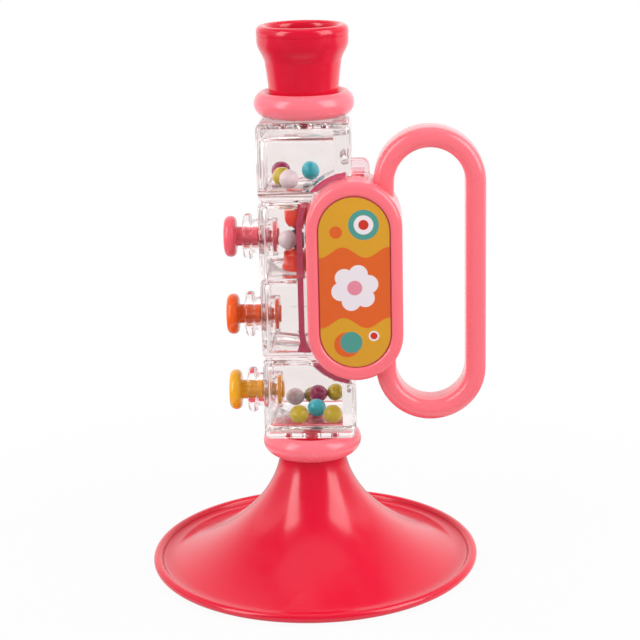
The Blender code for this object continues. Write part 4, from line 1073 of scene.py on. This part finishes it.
def camera():
    """Camera fitted to the photo: 0.72 m in front, 0.31 m up, slightly rolled."""
    alpha, aim = math.radians(2.7), math.radians(2.7 - 0.36)
    pitch, roll = math.radians(15.62), math.radians(-1.36)
    distance, height = 0.7185, 0.3106
    focal_pixels, picture_width = 1734.6, 640
    forward = Vector(
        (-math.sin(aim) * math.cos(pitch), math.cos(aim) * math.cos(pitch), -math.sin(pitch))
    )
    right = Vector((math.cos(aim), math.sin(aim), 0))
    up = right.cross(forward)
    rolled = right * math.cos(roll) + up * math.sin(roll)
    upright = up * math.cos(roll) - right * math.sin(roll)
    data = bpy.data.cameras.new("camera")
    data.sensor_fit = "HORIZONTAL"
    data.sensor_width = 36
    data.lens = data.sensor_width * focal_pixels / picture_width
    item = bpy.data.objects.new("camera", data)
    turn = Matrix((rolled, upright, -forward)).transposed().to_4x4()
    place = Matrix.Translation(
        (distance * math.sin(alpha), -distance * math.cos(alpha), height)
    )
    item.matrix_world = place @ turn
    bpy.context.scene.collection.objects.link(item)
    bpy.context.scene.camera = item


def studio_walls(n, rays):
    """White behind, soft light overhead and at both sides, dim on the side of the camera."""
    direction = n.along(n.node("ShaderNodeTexCoord").outputs["Generated"])
    across = n.math("ABSOLUTE", direction["X"])
    near = n.ramp(across, 0.68, 0.76, 0.0, 0.9)
    fade = n.ramp(across, 0.76, 0.95, 0.0, 0.5)
    sides = n.math("SUBTRACT", near, fade)
    above = n.ramp(direction["Z"], 0.90, 0.96, 0.0, 0.5)
    behind = n.ramp(direction["Y"], 0.15, 0.9, 0.05, 1.1)
    around = n.ramp(direction["Y"], -0.35, 0.20, 0.30, 1.0)
    through = n.math("MULTIPLY", around, rays["Is Transmission Ray"])
    return n.largest(sides, above, behind, through, rays["Is Camera Ray"])


def white_seen(n, rays):
    """1 for what the camera sees directly, in gloss and through glass; 0 for plain lighting."""
    kinds = ("Is Camera Ray", "Is Glossy Ray", "Is Transmission Ray")
    return n.largest(*[rays[kind] for kind in kinds])


def world():
    """Even light for matt surfaces, and the walls of a studio for what mirrors or shows them."""
    item = bpy.data.worlds.new("studio")
    item.use_nodes = True
    n = Nodes(item.node_tree, "World Output")
    rays = n.rays()
    plain = n.tree.nodes["Background"]
    plain.inputs["Strength"].default_value = 0.36
    seen = n.node("ShaderNodeBackground")
    n.put(seen.inputs["Strength"], studio_walls(n, rays))
    for background in (plain, seen):
        n.put(background.inputs["Color"], (1, 1, 1))
    n.show(white_seen(n, rays), plain.outputs[0], seen.outputs[0])
    bpy.context.scene.world = item


def floor():
    """White floor that keeps the shadow and is dim in gloss on the side of the camera."""
    shape = bmesh.new()
    bmesh.ops.create_grid(shape, x_segments=1, y_segments=1, size=4)
    item = new_piece("floor", shape)
    n = Material("white_floor")
    n.set(Base_Color=(0.62, 0.61, 0.61), Roughness=0.8, Specular_IOR_Level=0.1)
    rays = n.rays()
    depth = n.along(n.place)["Y"]
    behind = n.ramp(depth, 0.03, 0.28, 0.05, 1.0)
    around = n.ramp(depth, -0.10, 0.04, 0.20, 1.0)
    through = n.math("MULTIPLY", around, rays["Is Transmission Ray"])
    length = n.node("ShaderNodeVectorMath", operation="LENGTH")
    n.put(length.inputs[0], n.place)
    distance = length.outputs["Value"]
    close = n.ramp(distance, 0.105, 0.17, 0.9, 0.0)
    glow = n.node("ShaderNodeEmission")
    strength = n.largest(behind, through, close, rays["Is Camera Ray"])
    n.put(glow.inputs["Strength"], strength)
    glowing = n.ramp(distance, 0.10, 0.30, 0.95, 1.0)
    share = n.math("MULTIPLY", white_seen(n, rays), glowing)
    n.show(share, n.shader.outputs[0], glow.outputs[0])
    item.data.materials.append(n.material)


def softbox(name, place, size, power, mirrored=True):
    """Rectangular lamp aimed at the trumpet; gloss shows it only where mirrored is set."""
    aim = Vector((0, 0, 0.11))
    data = bpy.data.lights.new(name, "AREA")
    data.shape = "RECTANGLE"
    data.size, data.size_y = size
    data.energy = power
    item = bpy.data.objects.new(name, data)
    item.location = place
    item.visible_glossy = mirrored
    item.rotation_euler = (aim - Vector(place)).to_track_quat("-Z", "Y").to_euler()
    bpy.context.scene.collection.objects.link(item)


def studio():
    scene = bpy.context.scene
    scene.view_settings.view_transform = "Standard"
    bounces = 20
    scene.cycles.max_bounces = bounces
    scene.cycles.glossy_bounces = bounces
    scene.cycles.transmission_bounces = bounces
    scene.cycles.transparent_max_bounces = 24
    world()
    floor()
    softbox("left_softbox", (-0.91, -0.69, 0.74), (0.5, 1.2), 7.3)
    softbox("right_softbox", (1.03, -0.50, 0.74), (0.75, 1.2), 9.2)
    softbox("left_wing", (-1.15, 0.15, 0.55), (1.3, 1.3), 6.6, False)
    softbox("right_wing", (1.15, 0.15, 0.55), (1.3, 1.3), 7.0, False)
    softbox("top_softbox", (0, 0.25, 1.1), (1.2, 1.2), 3.8, False)
    softbox("front_fill", (0, -1.35, 0.3), (1.4, 0.9), 1.4, False)


bell()
ring("bottom_ring", 21.3, 50.8)
ring("top_ring", 20.9, 198.4)
mouthpiece()
shells()
for (valve_name, height), colour in zip(VALVES, (YELLOW, ORANGE, PINK)):
    valve(valve_name, height, colour)
housing()
skirt()
lug()
label_plate()
screws()
spool()
balls()
camera()
studio()
